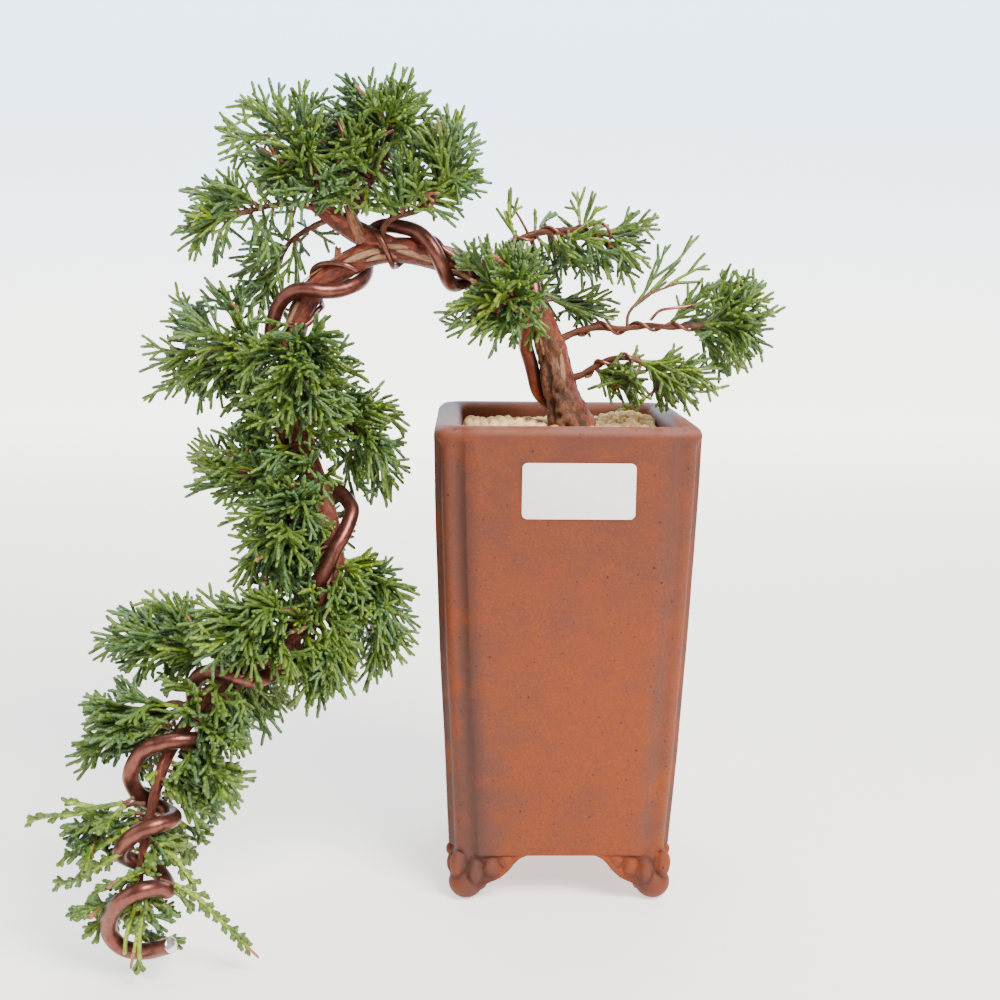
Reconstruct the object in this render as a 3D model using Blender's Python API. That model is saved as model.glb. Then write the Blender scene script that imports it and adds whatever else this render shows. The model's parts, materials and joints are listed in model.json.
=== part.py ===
"""A cascade-style juniper bonsai in a tall square stoneware pot.

Metres, +Z up, the front of the pot towards -Y.  The plant is laid out in millimetres about the pot's
own axis, with z = 0 under the pot's feet, and the whole is moved at the end so that the origin lies
at the centre of its bounding box on that floor.
"""

import math
import random

import bmesh
import bpy
import numpy as np
from mathutils import Matrix

MM = 0.001
GAP = 0.3                       # between solids that touch, mm

# ---- driving dimensions, mm -------------------------------------------------------------------
POT_HEIGHT = 176.6
POT_HALF_TOP = 47.0             # half width across the panels at the rim
POT_HALF_FOOT = 40.0            # the same at the floor
POT_CURVE = 1.4                 # how the taper gathers towards the foot
POST_STEP = 2.6                 # how far the panels stand proud of the corner posts
POST_WIDTH = 8.5
POST_RADIUS = 3.5
RIM_DEPTH = 7.0                 # the notches fade out over this height under the rim
POT_WALL = 9.6
WALL_NOTCH = 0.3                # the hollow's corners stand back this much, as the panels' do
POT_FLOOR_UNDER = 18.0
POT_FLOOR_TOP = 27.0
FOOT_SPAN = (15.0, 39.0)        # a foot's wing begins and its toe ends this far from the axis
SOIL_LEVEL = 171.0
SOIL_SIDES = 9                  # of each heap of grains
SOIL_HEAPS = ((25.0, 13.0, 10.0, 3.5), (-22.0, 8.0, 11.0, 1.8))    # x, y, radius and height
TOE_RADIUS = 7.4
TOE_PLACE = 34.4                # of the toe's middle, from the axis along X and Y
WING_THICK = 11.0

WIRE_RADIUS = 2.7
WIRE_LENGTHS = 6                # the heavy wire is made in this many nodes
WIRE_SEGMENTS = 10              # per turn
BOUGH_WIRE_SEGMENTS = 6
THIN_WIRE_RADIUS = 1.1
BOUGH_WIRE_RADIUS = 0.65
BOUGH_WIRE_LIFT = 1.3           # from a bough's bark to the middle of its fine wire

TRUNK_SIDES = 8
BOUGH_SIDES = 6
CUTTER_SIDES = 16
STEM_RADII = (1.6, 1.1)
STEM_SIDES = 4
STEM_POINTS = 9
STEM_ROOT_EASE = 1.2            # a root may stand this much closer to a limb than the rest
STEM_SHIFTS = range(-8, 9)      # steps along the limb, and turns round it, that are tried for a root
STEM_ROLLS = (0, 25, -25, 50, -50, 75, -75)
BLADE_HALF = 1.15               # half the width of a shoot near its root
BLADE_THICK = 1.7
BLADE_REACH = 1.2               # from a shoot's middle line to its surface
CURVE_POINTS = 10
TOOTH_POINTS = (3, 5, 7)        # the points of a shoot's curve that side sprays leave
SPRAY_LENGTH = (7.0, 14.0)
SPRAY_ANGLE = 42.0              # between a shoot and its side sprays, degrees
TWIG_CLEAR = 0.35               # least space between foliage and anything else
FLOOR_CLEAR = 0.8
SHOOT_REACH = (0.90, 0.99)      # how far a shoot grows towards its mass's skin
SHOOT_TRIES = (1.0, 1.0, 0.9, 0.8, 0.7, 0.6)    # the share of that tried, from six places on the stem
SPRAY_TRIES = (1.0, 0.75, 0.55)

# ---- the trunk: x, y, z and radius, from the soil over the arch to the tip of the cascade -------
TRUNK = (
    (5.0, 4.0, SOIL_LEVEL + GAP, 8.8), (2.2, 4.0, 178.0, 7.0), (0.0, 4.0, 184.5, 6.2),
    (-3.5, 4.0, 199.0, 5.4), (-9.5, 3.5, 213.0, 5.1), (-20.0, 2.0, 223.5, 5.0),
    (-34.0, -0.5, 230.0, 4.9), (-52.0, -4.0, 235.0, 4.7), (-66.0, -6.5, 235.8, 4.6),
    (-80.0, -8.5, 230.0, 4.3), (-92.5, -10.5, 219.0, 4.2), (-98.0, -13.0, 204.0, 4.1),
    (-98.5, -16.5, 188.0, 4.0), (-94.5, -22.0, 168.0, 4.0), (-86.5, -29.0, 147.0, 3.9),
    (-82.5, -35.5, 127.0, 3.9), (-87.0, -44.0, 112.0, 3.9), (-101.0, -54.0, 101.5, 3.9),
    (-120.0, -64.0, 88.5, 4.0), (-133.0, -76.0, 71.5, 3.7), (-138.5, -86.0, 50.0, 3.2),
    (-140.5, -91.0, 33.0, 2.5), (-140.5, -93.0, 17.0, 1.6),
)
# where the trunk is divided into limbs, as indices of the points above
TRUNK_LIMBS = (
    ("trunk_base", 0, 5), ("trunk_arch", 5, 9), ("cascade_upper", 9, 13),
    ("cascade_middle", 13, 15), ("cascade_turn", 15, 18), ("cascade_tail", 18, 22),
)
BARK_RED = (0.30, 0.095, 0.050)
BARK_BROWN = (0.20, 0.10, 0.065)
STONEWARE = (0.36, 0.13, 0.070)
WIRE_BROWN = (0.19, 0.070, 0.055)
PUMICE = (0.62, 0.48, 0.29)
LEAF_GREEN = (0.085, 0.20, 0.050)

# ---- boughs: the limb they leave, their points, and their radii at root and tip ------------------
BOUGHS = {
    "apex_limb": ("trunk_arch", (
        (-63, -6, 236), (-75, -6.5, 242), (-84, -7, 247.5), (-91, -7, 253)), 4.8, 3.0),
    "crown_bough": ("apex_limb", (
        (-79, -6.5, 243), (-76, -5, 252), (-70, -4, 262), (-65, -3, 270)), 2.2, 1.3),
    "crown_left_bough": ("apex_limb", (
        (-84, -7, 247), (-87, -10, 257), (-91, -11, 265), (-95, -11, 271)), 1.9, 1.2),
    "crown_right_bough": ("trunk_arch", (
        (-68, -6, 237), (-64, -12, 246), (-54, -14, 249.5), (-49, -14, 252)), 1.5, 1.1),
    "left_bough": ("apex_limb", (
        (-88, -7, 250), (-98, -9, 252), (-106, -11, 251), (-113, -12, 249)), 1.6, 1.1),
    "hanging_bough": ("apex_limb", (
        (-85, -6, 247), (-94, -2, 243), (-101, 0, 238), (-105, 1, 231)), 1.3, 1.0),
    "upper_right_bough": ("trunk_base", (
        (-9, 4, 212), (-11, 9, 221), (-17, 9.5, 231), (-19, 7.5, 237), (-13, 4.5, 242),
        (0, 4.5, 244), (12, 5, 244)), 1.7, 1.1),
    "right_bough": ("trunk_base", (
        (-4.5, 4, 201), (4, 7, 206.5), (14, 6.5, 208), (32, 5.5, 209), (50, 4.5, 209.5)), 1.7, 1.2),
    "low_right_bough": ("trunk_base", (
        (-1, 4, 188.5), (8, 3, 191.5), (15, 1, 196), (26, -2, 197.5)), 1.6, 1.2),
}
# limbs that a bough is cut back from where that isn't its parent alone
BOUGH_NEIGHBOURS = {"crown_right_bough": ("trunk_arch", "apex_limb")}
# turns of the fine wire on three boughs, between these fractions of their length
BOUGH_WIRES = (
    ("upper_right_bough", 3.0, 0.30, 0.98),
    ("right_bough", 4.5, 0.22, 0.98),
    ("low_right_bough", 2.5, 0.30, 0.98),
)

# ---- the wires on the trunk: distance along it in mm, turns, where a whole turn is in front, and
# ---- the clear lift from the bark to the wire's middle
WIRE_TURNS = (
    (3, -0.35, 3.3), (15, -0.27, 3.3), (34, -0.25, 3.6), (45, -0.07, 3.3), (62, 0.30, 3.3),
    (75, 0.62, 3.3), (86, 0.92, 3.3), (96, 1.15, 3.3), (102, 1.26, 3.4), (106, 1.31, 4.9),
    (110, 1.38, 7.0), (114, 1.50, 5.6), (118, 1.64, 3.5), (124, 1.77, 3.3), (131, 1.85, 3.3),
    (137, 1.96, 3.3), (142, 2.13, 3.3),
    (148, 2.23, 4.3), (157, 2.29, 4.8), (166, 2.55, 3.3), (200, 3.35, 3.3), (214, 3.62, 3.4),
    (219, 3.72, 4.6), (223, 3.76, 6.0), (229, 3.84, 4.2), (237, 3.98, 3.3), (249, 4.08, 3.3),
    (262, 4.42, 3.3), (276, 4.72, 4.2), (286, 4.80, 3.3), (295, 4.99, 3.3), (305, 5.32, 3.3),
    (315, 5.66, 3.3), (325, 6.03, 3.3), (331, 6.20, 5.0), (338, 6.27, 6.2), (344, 6.40, 5.2),
    (347, 6.60, 4.6), (349, 6.80, 4.4), (352, 6.98, 3.9), (358, 7.15, 3.6), (362, 7.27, 4.2),
    (366, 7.48, 4.6), (368, 7.62, 5.6),
)
# the last loop leaves the trunk and curls round below it, mm
WIRE_HOOK = (
    (-130.4, -90.0, 29.0), (-135.5, -98.0, 34.2), (-142.7, -100.0, 32.0), (-148.1, -97.0, 25.2),
    (-150.5, -93.0, 16.5), (-146.8, -91.5, 10.3), (-139.2, -93.0, 9.7), (-129.4, -98.0, 14.6),
)
# the thin wire shows in two lengths, as it passes under the heavy one behind the fork
THIN_WIRE_TURNS = (
    ((70, -0.20, 1.5), (78, 0.01, 1.5), (88, 0.08, 1.5), (93, 0.30, 1.5), (100, 0.60, 1.5),
     (105, 0.75, 1.5), (108, 1.00, 1.6), (110, 1.17, 3.4)),
    ((121, 1.90, 1.5), (123.5, 2.00, 1.6), (128.5, 2.13, 1.5), (133, 2.27, 1.5),
     (138, 2.55, 1.5), (142, 2.80, 1.5), (149, 2.84, 1.5), (154, 2.97, 1.5)),
)

# ---- foliage masses: the limb that the stem leaves and how far along it, the middle of the mass,
# ---- its half sizes, the number of its shoots, and named furthest tips --------------------------
MASSES = {
    "crown_left": ("crown_left_bough", 1.0, (-97, -12, 275), (26, 20, 19), 6, ((-115, -12, 287),)),
    "crown_top": ("crown_bough", 1.0, (-67, -6, 283), (23, 20, 17), 6, ((-57, -6, 300),)),
    "crown_right": ("crown_right_bough", 1.0, (-46, -10, 266), (17, 18, 22), 7, ((-30, -12, 262),)),
    "crown_back": ("crown_bough", 0.45, (-78, 18, 270), (25, 17, 21), 5, ()),
    "left_spray": ("left_bough", 1.0, (-125, -13, 247), (15, 14, 16), 5, ((-139, -14, 242),)),
    "hanging_spray": ("hanging_bough", 1.0, (-109, 2, 226), (14, 13, 17), 4, ()),
    "shoulder": ("trunk_base", 0.93, (-24, -18, 221), (23, 15, 21), 7, ((-27, -20, 199),)),
    "shoulder_back": ("trunk_base", 0.80, (-22, 22, 224), (22, 17, 19), 5, ()),
    "shoulder_right": ("trunk_base", 0.62, (8, 13, 213), (15, 11, 9), 3, ((20, 10, 211),)),
    "upper_right": ("upper_right_bough", 1.0, (15, 5, 239), (22, 16, 17), 6, ((35, 4, 250),)),
    "upright_sprig": ("upper_right_bough", 0.30, (-19.5, 4, 253), (5, 6, 8), 0, ((-19, 4, 260),)),
    "right_spray": ("right_bough", 1.0, (65, 4, 211), (16, 17, 21), 7, ((81, 3, 215),)),
    "right_sprig": ("right_bough", 0.72, (43, 4, 225), (12, 8, 12), 0,
                    ((38, 4, 239), (48, 4, 241), (54, 4, 232))),
    "low_right": ("low_right_bough", 1.0, (37, -4, 189), (24, 15, 12), 5,
                  ((60, -5, 187), (11, -4, 187))),
    "cascade_left_top": ("cascade_upper", 0.55, (-128, -12, 200), (24, 18, 25), 7,
                         ((-153, -12, 181),)),
    "cascade_front": ("cascade_upper", 0.62, (-95, -34, 190), (21, 16, 26), 7, ()),
    "cascade_right": ("cascade_upper", 0.92, (-71, -20, 168), (15, 17, 23), 6, ((-61, -22, 152),)),
    "cascade_back": ("cascade_upper", 0.80, (-96, 9, 178), (23, 17, 26), 5, ()),
    "cascade_left_mid": ("cascade_middle", 0.20, (-120, -24, 160), (18, 16, 17), 4,
                         ((-135, -24, 152),)),
    "middle_front": ("cascade_middle", 0.75, (-99, -49, 137), (19, 15, 26), 6, ()),
    "middle_back": ("cascade_middle", 0.90, (-97, -8, 128), (22, 16, 22), 5, ()),
    "turn_right": ("cascade_turn", 0.05, (-68, -36, 107), (15, 18, 26), 7, ((-57, -37, 97),)),
    "turn_under": ("cascade_turn", 0.45, (-88, -53, 92), (16, 13, 14), 4, ()),
    "turn_front": ("cascade_turn", 0.60, (-112, -68, 108), (21, 15, 17), 5, ()),
    "turn_left": ("cascade_turn", 0.85, (-143, -52, 104), (20, 18, 17), 6, ((-163, -54, 103),)),
    "turn_back": ("cascade_turn", 0.80, (-115, -38, 78), (20, 17, 17), 4, ()),
    "low_left": ("cascade_tail", 0.10, (-148, -72, 76), (18, 18, 18), 6, ((-165, -72, 68),)),
    "low_right_side": ("cascade_tail", 0.25, (-120, -80, 68), (15, 15, 20), 5, ()),
    "tail_left": ("cascade_tail", 0.62, (-156, -86, 44), (15, 14, 12), 4, ((-178, -85, 50),)),
    "tail_back": ("cascade_tail", 0.55, (-136, -66, 42), (18, 13, 19), 4, ()),
    "tail_tip": ("cascade_tail", 0.97, (-146, -90, 18), (22, 15, 15), 4,
                 ((-102, -90, 4), (-170, -86, 31), (-143, -88, 3))),
}
NAMED_LIMIT = 0.92              # how far a named tip's side sprays reach, of the tip's own reach


# ---- small helpers -------------------------------------------------------------------------------
def material(name, colour, roughness, metallic=0.0):
    made = bpy.data.materials.new(name)
    made.use_nodes = True
    shader = made.node_tree.nodes["Principled BSDF"]
    shader.inputs["Base Color"].default_value = (*colour, 1.0)
    shader.inputs["Roughness"].default_value = roughness
    shader.inputs["Metallic"].default_value = metallic
    return made


def add_object(name, vertices, faces, finish=None):
    """A mesh object from points in millimetres."""
    mesh = bpy.data.meshes.new(name)
    mesh.from_pydata([tuple(MM * c for c in v) for v in vertices], [], faces)
    if finish:
        mesh.materials.append(finish)
    made = bpy.data.objects.new(name, mesh)
    bpy.context.scene.collection.objects.link(made)
    return made


def rings_mesh(rings):
    """Closed side and end faces over a list of equal rings of points."""
    sides = len(rings[0])
    vertices = [p for ring in rings for p in ring]
    faces = [tuple(range(sides))[::-1]]
    for low in range(0, len(vertices) - sides, sides):
        for i in range(sides):
            j = (i + 1) % sides
            faces.append((low + i, low + j, low + sides + j, low + sides + i))
    faces.append(tuple(range(len(vertices) - sides, len(vertices))))
    return vertices, faces


def smooth_route(points, step=1.5):
    """Catmull-Rom curve through the points, which may carry a radius, at even steps along it."""
    p = np.array(points, float)
    p = np.vstack([2 * p[0] - p[1], p, 2 * p[-1] - p[-2]])
    dense = []
    for a, b, c, d in zip(p[:-3], p[1:-2], p[2:-1], p[3:]):
        for t in np.linspace(0, 1, 24, endpoint=False):
            dense.append(0.5 * (2 * b + (c - a) * t + (2 * a - 5 * b + 4 * c - d) * t**2
                                + (3 * b - a - 3 * c + d) * t**3))
    dense = np.array(dense + [p[-2]])
    along = distances(dense)
    count = max(2, int(round(along[-1] / step)) + 1)
    even = np.linspace(0, along[-1], count)
    return np.column_stack([np.interp(even, along, dense[:, k]) for k in range(dense.shape[1])])


def distances(route):
    """How far along a route each of its points lies."""
    steps = np.linalg.norm(np.diff(route[:, :3], axis=0), axis=1)
    return np.concatenate([[0], np.cumsum(steps)])


def unit(v):
    return v / np.linalg.norm(v)


def tangents(points):
    t = np.gradient(points[:, :3], axis=0)
    return t / np.linalg.norm(t, axis=1)[:, None]


def front_frames(points):
    """At each point the direction nearest to the viewer at -Y, and the one on the arch's outer side."""
    t = tangents(points)
    front = np.array([0.0, -1.0, 0.0])[None] - t * (t @ np.array([0.0, -1.0, 0.0]))[:, None]
    front /= np.linalg.norm(front, axis=1)[:, None]
    return front, np.cross(t, front)


def tube_rings(points, radii, sides):
    """A ring of points square to the route at each of its points."""
    front, outer = front_frames(points)
    rings = []
    for point, f, o, radius in zip(points[:, :3], front, outer, radii):
        turn = [2 * math.pi * k / sides for k in range(sides)]
        rings.append(np.array([point + radius * (math.cos(a) * f + math.sin(a) * o) for a in turn]))
    return rings


def tube(points, radii, sides, stride=1):
    """A closed tube with a ring at every few points of its route."""
    return rings_mesh(tube_rings(points, radii, sides)[::stride])


def evaluated_mesh(source):
    graph = bpy.context.evaluated_depsgraph_get()
    return bpy.data.meshes.new_from_object(source.evaluated_get(graph))


def boolean(target, operation, tool=None, group=None, solver="EXACT"):
    """Applies one Boolean on the target, from a tool or a collection, and removes the tools."""
    cut = target.modifiers.new("join", "BOOLEAN")
    cut.operation = operation
    cut.solver = solver
    if group:
        cut.operand_type = "COLLECTION"
        cut.collection = group
    else:
        cut.object = tool
    result = evaluated_mesh(target)
    target.modifiers.clear()
    target.data = result
    for piece in list(group.objects) if group else [tool]:
        bpy.data.objects.remove(piece)
    if group:
        bpy.data.collections.remove(group)


def fuse(body, pieces, solver="EXACT"):
    """One Boolean union of a collection of pieces onto the body."""
    group = bpy.data.collections.new("pieces")
    for piece in pieces:
        for home in list(piece.users_collection):
            home.objects.unlink(piece)
        group.objects.link(piece)
    boolean(body, "UNION", group=group, solver=solver)


def is_closed(body):
    """Whether every edge of the mesh has exactly two faces."""
    work = bmesh.new()
    work.from_mesh(body.data)
    closed = all(edge.is_manifold for edge in work.edges)
    work.free()
    return closed


def keep_largest_piece(body):
    """Drops loose scraps and the walls of sealed hollows, so that one shell is left."""
    work = bmesh.new()
    work.from_mesh(body.data)
    unseen = set(work.verts)
    shells = []
    while unseen:
        shell, front = set(), [unseen.pop()]
        while front:
            vertex = front.pop()
            shell.add(vertex)
            near = {edge.other_vert(vertex) for edge in vertex.link_edges} & unseen
            unseen -= near
            front.extend(near)
        shells.append(shell)
    largest = max(shells, key=len)
    for shell in shells:
        if shell is not largest:
            bmesh.ops.delete(work, geom=list(shell), context="VERTS")
    work.to_mesh(body.data)
    work.free()


# ---- the pot -------------------------------------------------------------------------------------
def pot_half(z):
    return POT_HALF_TOP - (POT_HALF_TOP - POT_HALF_FOOT) * (1 - z / POT_HEIGHT) ** POT_CURVE


def notched_square(half, step, z):
    """A square whose corner posts stand back from its panels, with rounded corners."""
    post = half - step
    panel = half - POST_WIDTH - step
    quarter = [(half, -panel), (half, panel), (post, panel + 2.0)]
    for angle in (math.radians(12), math.radians(78)):
        centre = post - POST_RADIUS
        quarter.append((centre + POST_RADIUS * math.cos(angle), centre + POST_RADIUS * math.sin(angle)))
    quarter.append((panel + 2.0, post))
    ring = []
    for c, s in ((1, 0), (0, 1), (-1, 0), (0, -1)):
        ring += [(c * x - s * y, s * x + c * y, z) for x, y in quarter]
    return ring


def foot_wing(thickness):
    """One foot's wing in the X-Z plane: it rises from the toe to the apron in a hollow curve."""
    inner, outer = FOOT_SPAN
    top = POT_FLOOR_UNDER + 1.0
    outline = [(inner, top), (inner + 1.5, top - 2.2), (inner + 6.5, top - 5.0), (inner + 10.0, top - 9.0),
               (inner + 12.0, 2.6), (inner + 14.0, 0.0), (outer - 3.0, 0.0), (outer, 3.0),
               (outer + 1.0, 9.0), (outer, top)]
    near, far = outer + 0.6, outer + 0.6 - thickness
    return [[(x, -y, z) for x, z in outline] for y in (near, far)]


def make_pot():
    finish = material("stoneware", STONEWARE, 0.62)
    heights = (POT_FLOOR_UNDER, 50.0, 90.0, 135.0, POT_HEIGHT - RIM_DEPTH)
    rings = [notched_square(pot_half(z), POST_STEP, z) for z in heights]
    rim = pot_half(POT_HEIGHT)
    rings.append(notched_square(rim, 0.7, POT_HEIGHT - 3.6))
    rings.append(notched_square(rim - 0.2, 0.5, POT_HEIGHT - 1.8))
    rings.append(notched_square(rim - 1.8, 0.4, POT_HEIGHT))
    pot = add_object("pot", *rings_mesh(rings), finish)

    hollow_rings = []
    for z in (POT_FLOOR_TOP, 100.0, POT_HEIGHT - 1.5, POT_HEIGHT, POT_HEIGHT + 3.0):
        flare = 1.2 if z >= POT_HEIGHT else 0.0
        half = pot_half(min(z, POT_HEIGHT)) - POT_WALL + flare
        hollow_rings.append(notched_square(half, WALL_NOTCH, z))
    hollow = add_object("hollow", *rings_mesh(hollow_rings))
    boolean(pot, "DIFFERENCE", tool=hollow)

    pieces = []
    for corner in range(4):
        turn = math.pi / 2 * corner
        for flip in (False, True):
            near, far = foot_wing(WING_THICK)
            if flip:
                near, far = [[(-y, -x, z) for x, y, z in ring] for ring in (near, far)]
            wing = add_object("wing", *rings_mesh([near, far]))
            wing.data.transform(Matrix.Rotation(turn, 4, "Z"))
            pieces.append(wing)
        bpy.ops.mesh.primitive_uv_sphere_add(segments=8, ring_count=6, radius=TOE_RADIUS * MM)
        toe = bpy.context.object
        place = Matrix.Translation((TOE_PLACE * MM, -TOE_PLACE * MM, (TOE_RADIUS + GAP) * MM))
        toe.data.transform(Matrix.Rotation(turn, 4, "Z") @ place)
        pieces.append(toe)
    for piece in pieces:
        outward(piece)
    fuse(pot, pieces)
    keep_largest_piece(pot)
    return pot


def outward(piece):
    """Turns the faces of a closed piece to point out."""
    work = bmesh.new()
    work.from_mesh(piece.data)
    bmesh.ops.recalc_face_normals(work, faces=work.faces)
    work.to_mesh(piece.data)
    work.free()


def heap_rings(x, y, radius, height):
    """A low heap of grains, with its foot sunk into the soil."""
    turn = [2 * math.pi * k / SOIL_SIDES for k in range(SOIL_SIDES)]
    rings = []
    for rise, shrink in ((-2.0, 1.0), (0.45 * height, 0.8), (height, 0.3)):
        reach = radius * shrink
        rings.append([(x + reach * math.cos(a), y + reach * math.sin(a), SOIL_LEVEL + rise) for a in turn])
    return rings


def make_soil():
    """Fills the pot 0.3 mm clear of it, flat but for two low heaps beside the trunk."""
    rings = []
    for z, half_at in ((POT_FLOOR_TOP + GAP, POT_FLOOR_TOP), (SOIL_LEVEL, SOIL_LEVEL)):
        half = pot_half(half_at) - POT_WALL - WALL_NOTCH - GAP
        rings.append(notched_square(half, WALL_NOTCH, z))
    soil = add_object("soil", *rings_mesh(rings), material("pumice", PUMICE, 0.95))
    fuse(soil, [add_object("heap", *rings_mesh(heap_rings(*heap))) for heap in SOIL_HEAPS])
    keep_largest_piece(soil)
    return soil


# ---- trunk and boughs ----------------------------------------------------------------------------
def nearest_index(route, point):
    """The point of a route that lies nearest to the given one."""
    return int(np.argmin(np.linalg.norm(route[:, :3] - np.array(point[:3]), axis=1)))


def thinned(route):
    """Every fourth point of a route, with both of its ends."""
    keep = list(range(0, len(route), 4))
    keep[-1] = len(route) - 1
    return route[keep]


def limb_tube(name, route, sides, finish):
    """A tapering limb along a route that carries its radii."""
    part = thinned(route)
    return add_object(name, *tube(part, part[:, 3], sides), finish)


def trim_ends(route, start, end):
    """The route with this much cut off its ends, in mm, or added straight on where it is negative."""
    along = distances(route)
    even = np.linspace(max(start, 0), along[-1] - max(end, 0), len(route))
    cut = np.column_stack([np.interp(even, along, route[:, k]) for k in range(route.shape[1])])
    t = tangents(cut)
    cut[0, :3] += min(start, 0) * t[0]
    cut[-1, :3] -= min(end, 0) * t[-1]
    return cut


def make_trunk():
    """The limbs of the trunk, split at its bends, and their routes by name."""
    whole = smooth_route(TRUNK)
    rings = tube_rings(whole, whole[:, 3], TRUNK_SIDES)
    rings[0][:, 2] = SOIL_LEVEL + GAP
    t = tangents(whole)
    red = material("bark", BARK_RED, 0.7)
    brown = material("old_bark", BARK_BROWN, 0.85)
    routes = {"trunk": whole}
    for name, first, last in TRUNK_LIMBS:
        a, b = nearest_index(whole, TRUNK[first]), nearest_index(whole, TRUNK[last])
        keep = list(range(a, b, 4))
        if b - keep[-1] < 3:
            keep.pop()
        own = [rings[k] for k in keep] + [rings[b] - (GAP * t[b] if b < len(whole) - 1 else 0)]
        add_object(name, *rings_mesh(own), brown if name == "trunk_base" else red)
        routes[name] = whole[a:b + 1]
    return routes


def bough_route(name):
    parent, points, root, tip = BOUGHS[name]
    route = smooth_route(points)
    radii = np.linspace(root, tip, len(route))
    return np.column_stack([route, radii])


def make_boughs(routes):
    """Each bough grows from inside its parent and is cut back to 0.3 mm clear of it."""
    bark = material("bough_bark", BARK_BROWN, 0.85)
    for name, (parent, _, _, _) in BOUGHS.items():
        route = bough_route(name)
        sides = TRUNK_SIDES if name == "apex_limb" else BOUGH_SIDES
        bough = limb_tube(name, route, sides, bark)
        for limb in BOUGH_NEIGHBOURS.get(name, (parent,)):
            base = bough_route(limb) if limb in BOUGHS else routes[limb]
            fat = thinned(trim_ends(base, -2 * GAP, -2 * GAP))
            cutter = add_object("cutter", *tube(fat, fat[:, 3] + 2 * GAP, CUTTER_SIDES))
            boolean(bough, "DIFFERENCE", tool=cutter)
        keep_largest_piece(bough)
        routes[name] = clear_route(route, routes[parent])


def clear_route(route, parent):
    """The points of a bough that lie outside its parent."""
    apart = np.linalg.norm(route[:, None, :3] - parent[None, :, :3], axis=2) - parent[None, :, 3]
    outside = apart.min(axis=1) > 0.3
    first = int(np.argmax(outside))
    return route[first:]


# ---- wires ---------------------------------------------------------------------------------------
def coil_route(route, turns, segments):
    """A wire that winds on a route, from its distances, turns and lifts; turn 0 is in front."""
    along = distances(route)
    far, angle, lift = np.array(turns, float).T
    count = max(4, int(round((angle[-1] - angle[0]) * segments)))
    # even steps of turning and of travel together, so that a wire that runs straight is sampled too
    dense = np.linspace(far[0], far[-1], 40 * len(far))
    effort = 6.0 * segments * np.interp(dense, far, angle) + dense * segments / 16.0
    place = np.interp(np.linspace(effort[0], effort[-1], int(count * 1.15)), effort, dense)
    front, outer = front_frames(route)
    made = []
    for s in place:
        centre = np.array([np.interp(s, along, route[:, k]) for k in range(4)])
        f = np.array([np.interp(s, along, front[:, k]) for k in range(3)])
        o = np.array([np.interp(s, along, outer[:, k]) for k in range(3)])
        a = 2 * math.pi * np.interp(s, far, angle)
        reach = centre[3] + np.interp(s, far, lift)
        made.append(centre[:3] + reach * (math.cos(a) * f + math.sin(a) * o))
    return np.array(made)


def wire_rings(route, radius, sides):
    """Rings of a plain round wire, whose frame is carried along the route without twisting."""
    t = tangents(route)
    side = unit(np.cross(t[0], (0.2, 0.9, 0.3)))
    rings = []
    for point, axis in zip(route, t):
        side = unit(side - axis * (side @ axis))
        other = np.cross(axis, side)
        turn = [2 * math.pi * k / sides for k in range(sides)]
        rings.append(np.array([point + radius * (math.cos(a) * side + math.sin(a) * other) for a in turn]))
    return rings, t


def with_radius(route, radius):
    return np.column_stack([route, np.full(len(route), radius)])


def make_wires(routes):
    """The heavy wire in six lengths end to end, the thin one on the arch and those on the boughs."""
    finish = material("anodised_wire", WIRE_BROWN, 0.35, 0.7)
    whole = routes["trunk"]
    heavy = coil_route(whole, WIRE_TURNS, WIRE_SEGMENTS)
    heavy = np.vstack([heavy, smooth_route(WIRE_HOOK, 3.2)])
    rings, t = wire_rings(heavy, WIRE_RADIUS, 6)
    rings[0][:, 2] = SOIL_LEVEL + GAP
    cuts = np.linspace(0, len(heavy) - 1, WIRE_LENGTHS + 1).astype(int)
    for k, (a, b) in enumerate(zip(cuts[:-1], cuts[1:])):
        part = rings[a:b] + [rings[b] - (GAP * t[b] if b < len(heavy) - 1 else 0)]
        add_object("wire_%d" % (k + 1), *rings_mesh(part), finish)
    routes["wire"] = with_radius(heavy, WIRE_RADIUS)
    for k, turns in enumerate(THIN_WIRE_TURNS):
        thin = coil_route(whole, turns, WIRE_SEGMENTS)
        name = "thin_wire_%d" % (k + 1)
        add_object(name, *rings_mesh(wire_rings(thin, THIN_WIRE_RADIUS, 5)[0]), finish)
        routes[name] = with_radius(thin, THIN_WIRE_RADIUS)
    for name, turns, start, end in BOUGH_WIRES:
        route = routes[name]
        length = distances(route)[-1]
        ends = ((start * length, 0.1, BOUGH_WIRE_LIFT), (end * length, 0.1 + turns, BOUGH_WIRE_LIFT))
        coil = coil_route(route, ends, BOUGH_WIRE_SEGMENTS)
        add_object("wire_on_" + name, *rings_mesh(wire_rings(coil, BOUGH_WIRE_RADIUS, 4)[0]), finish)
        routes["wire_on_" + name] = with_radius(coil, BOUGH_WIRE_RADIUS)


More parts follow.
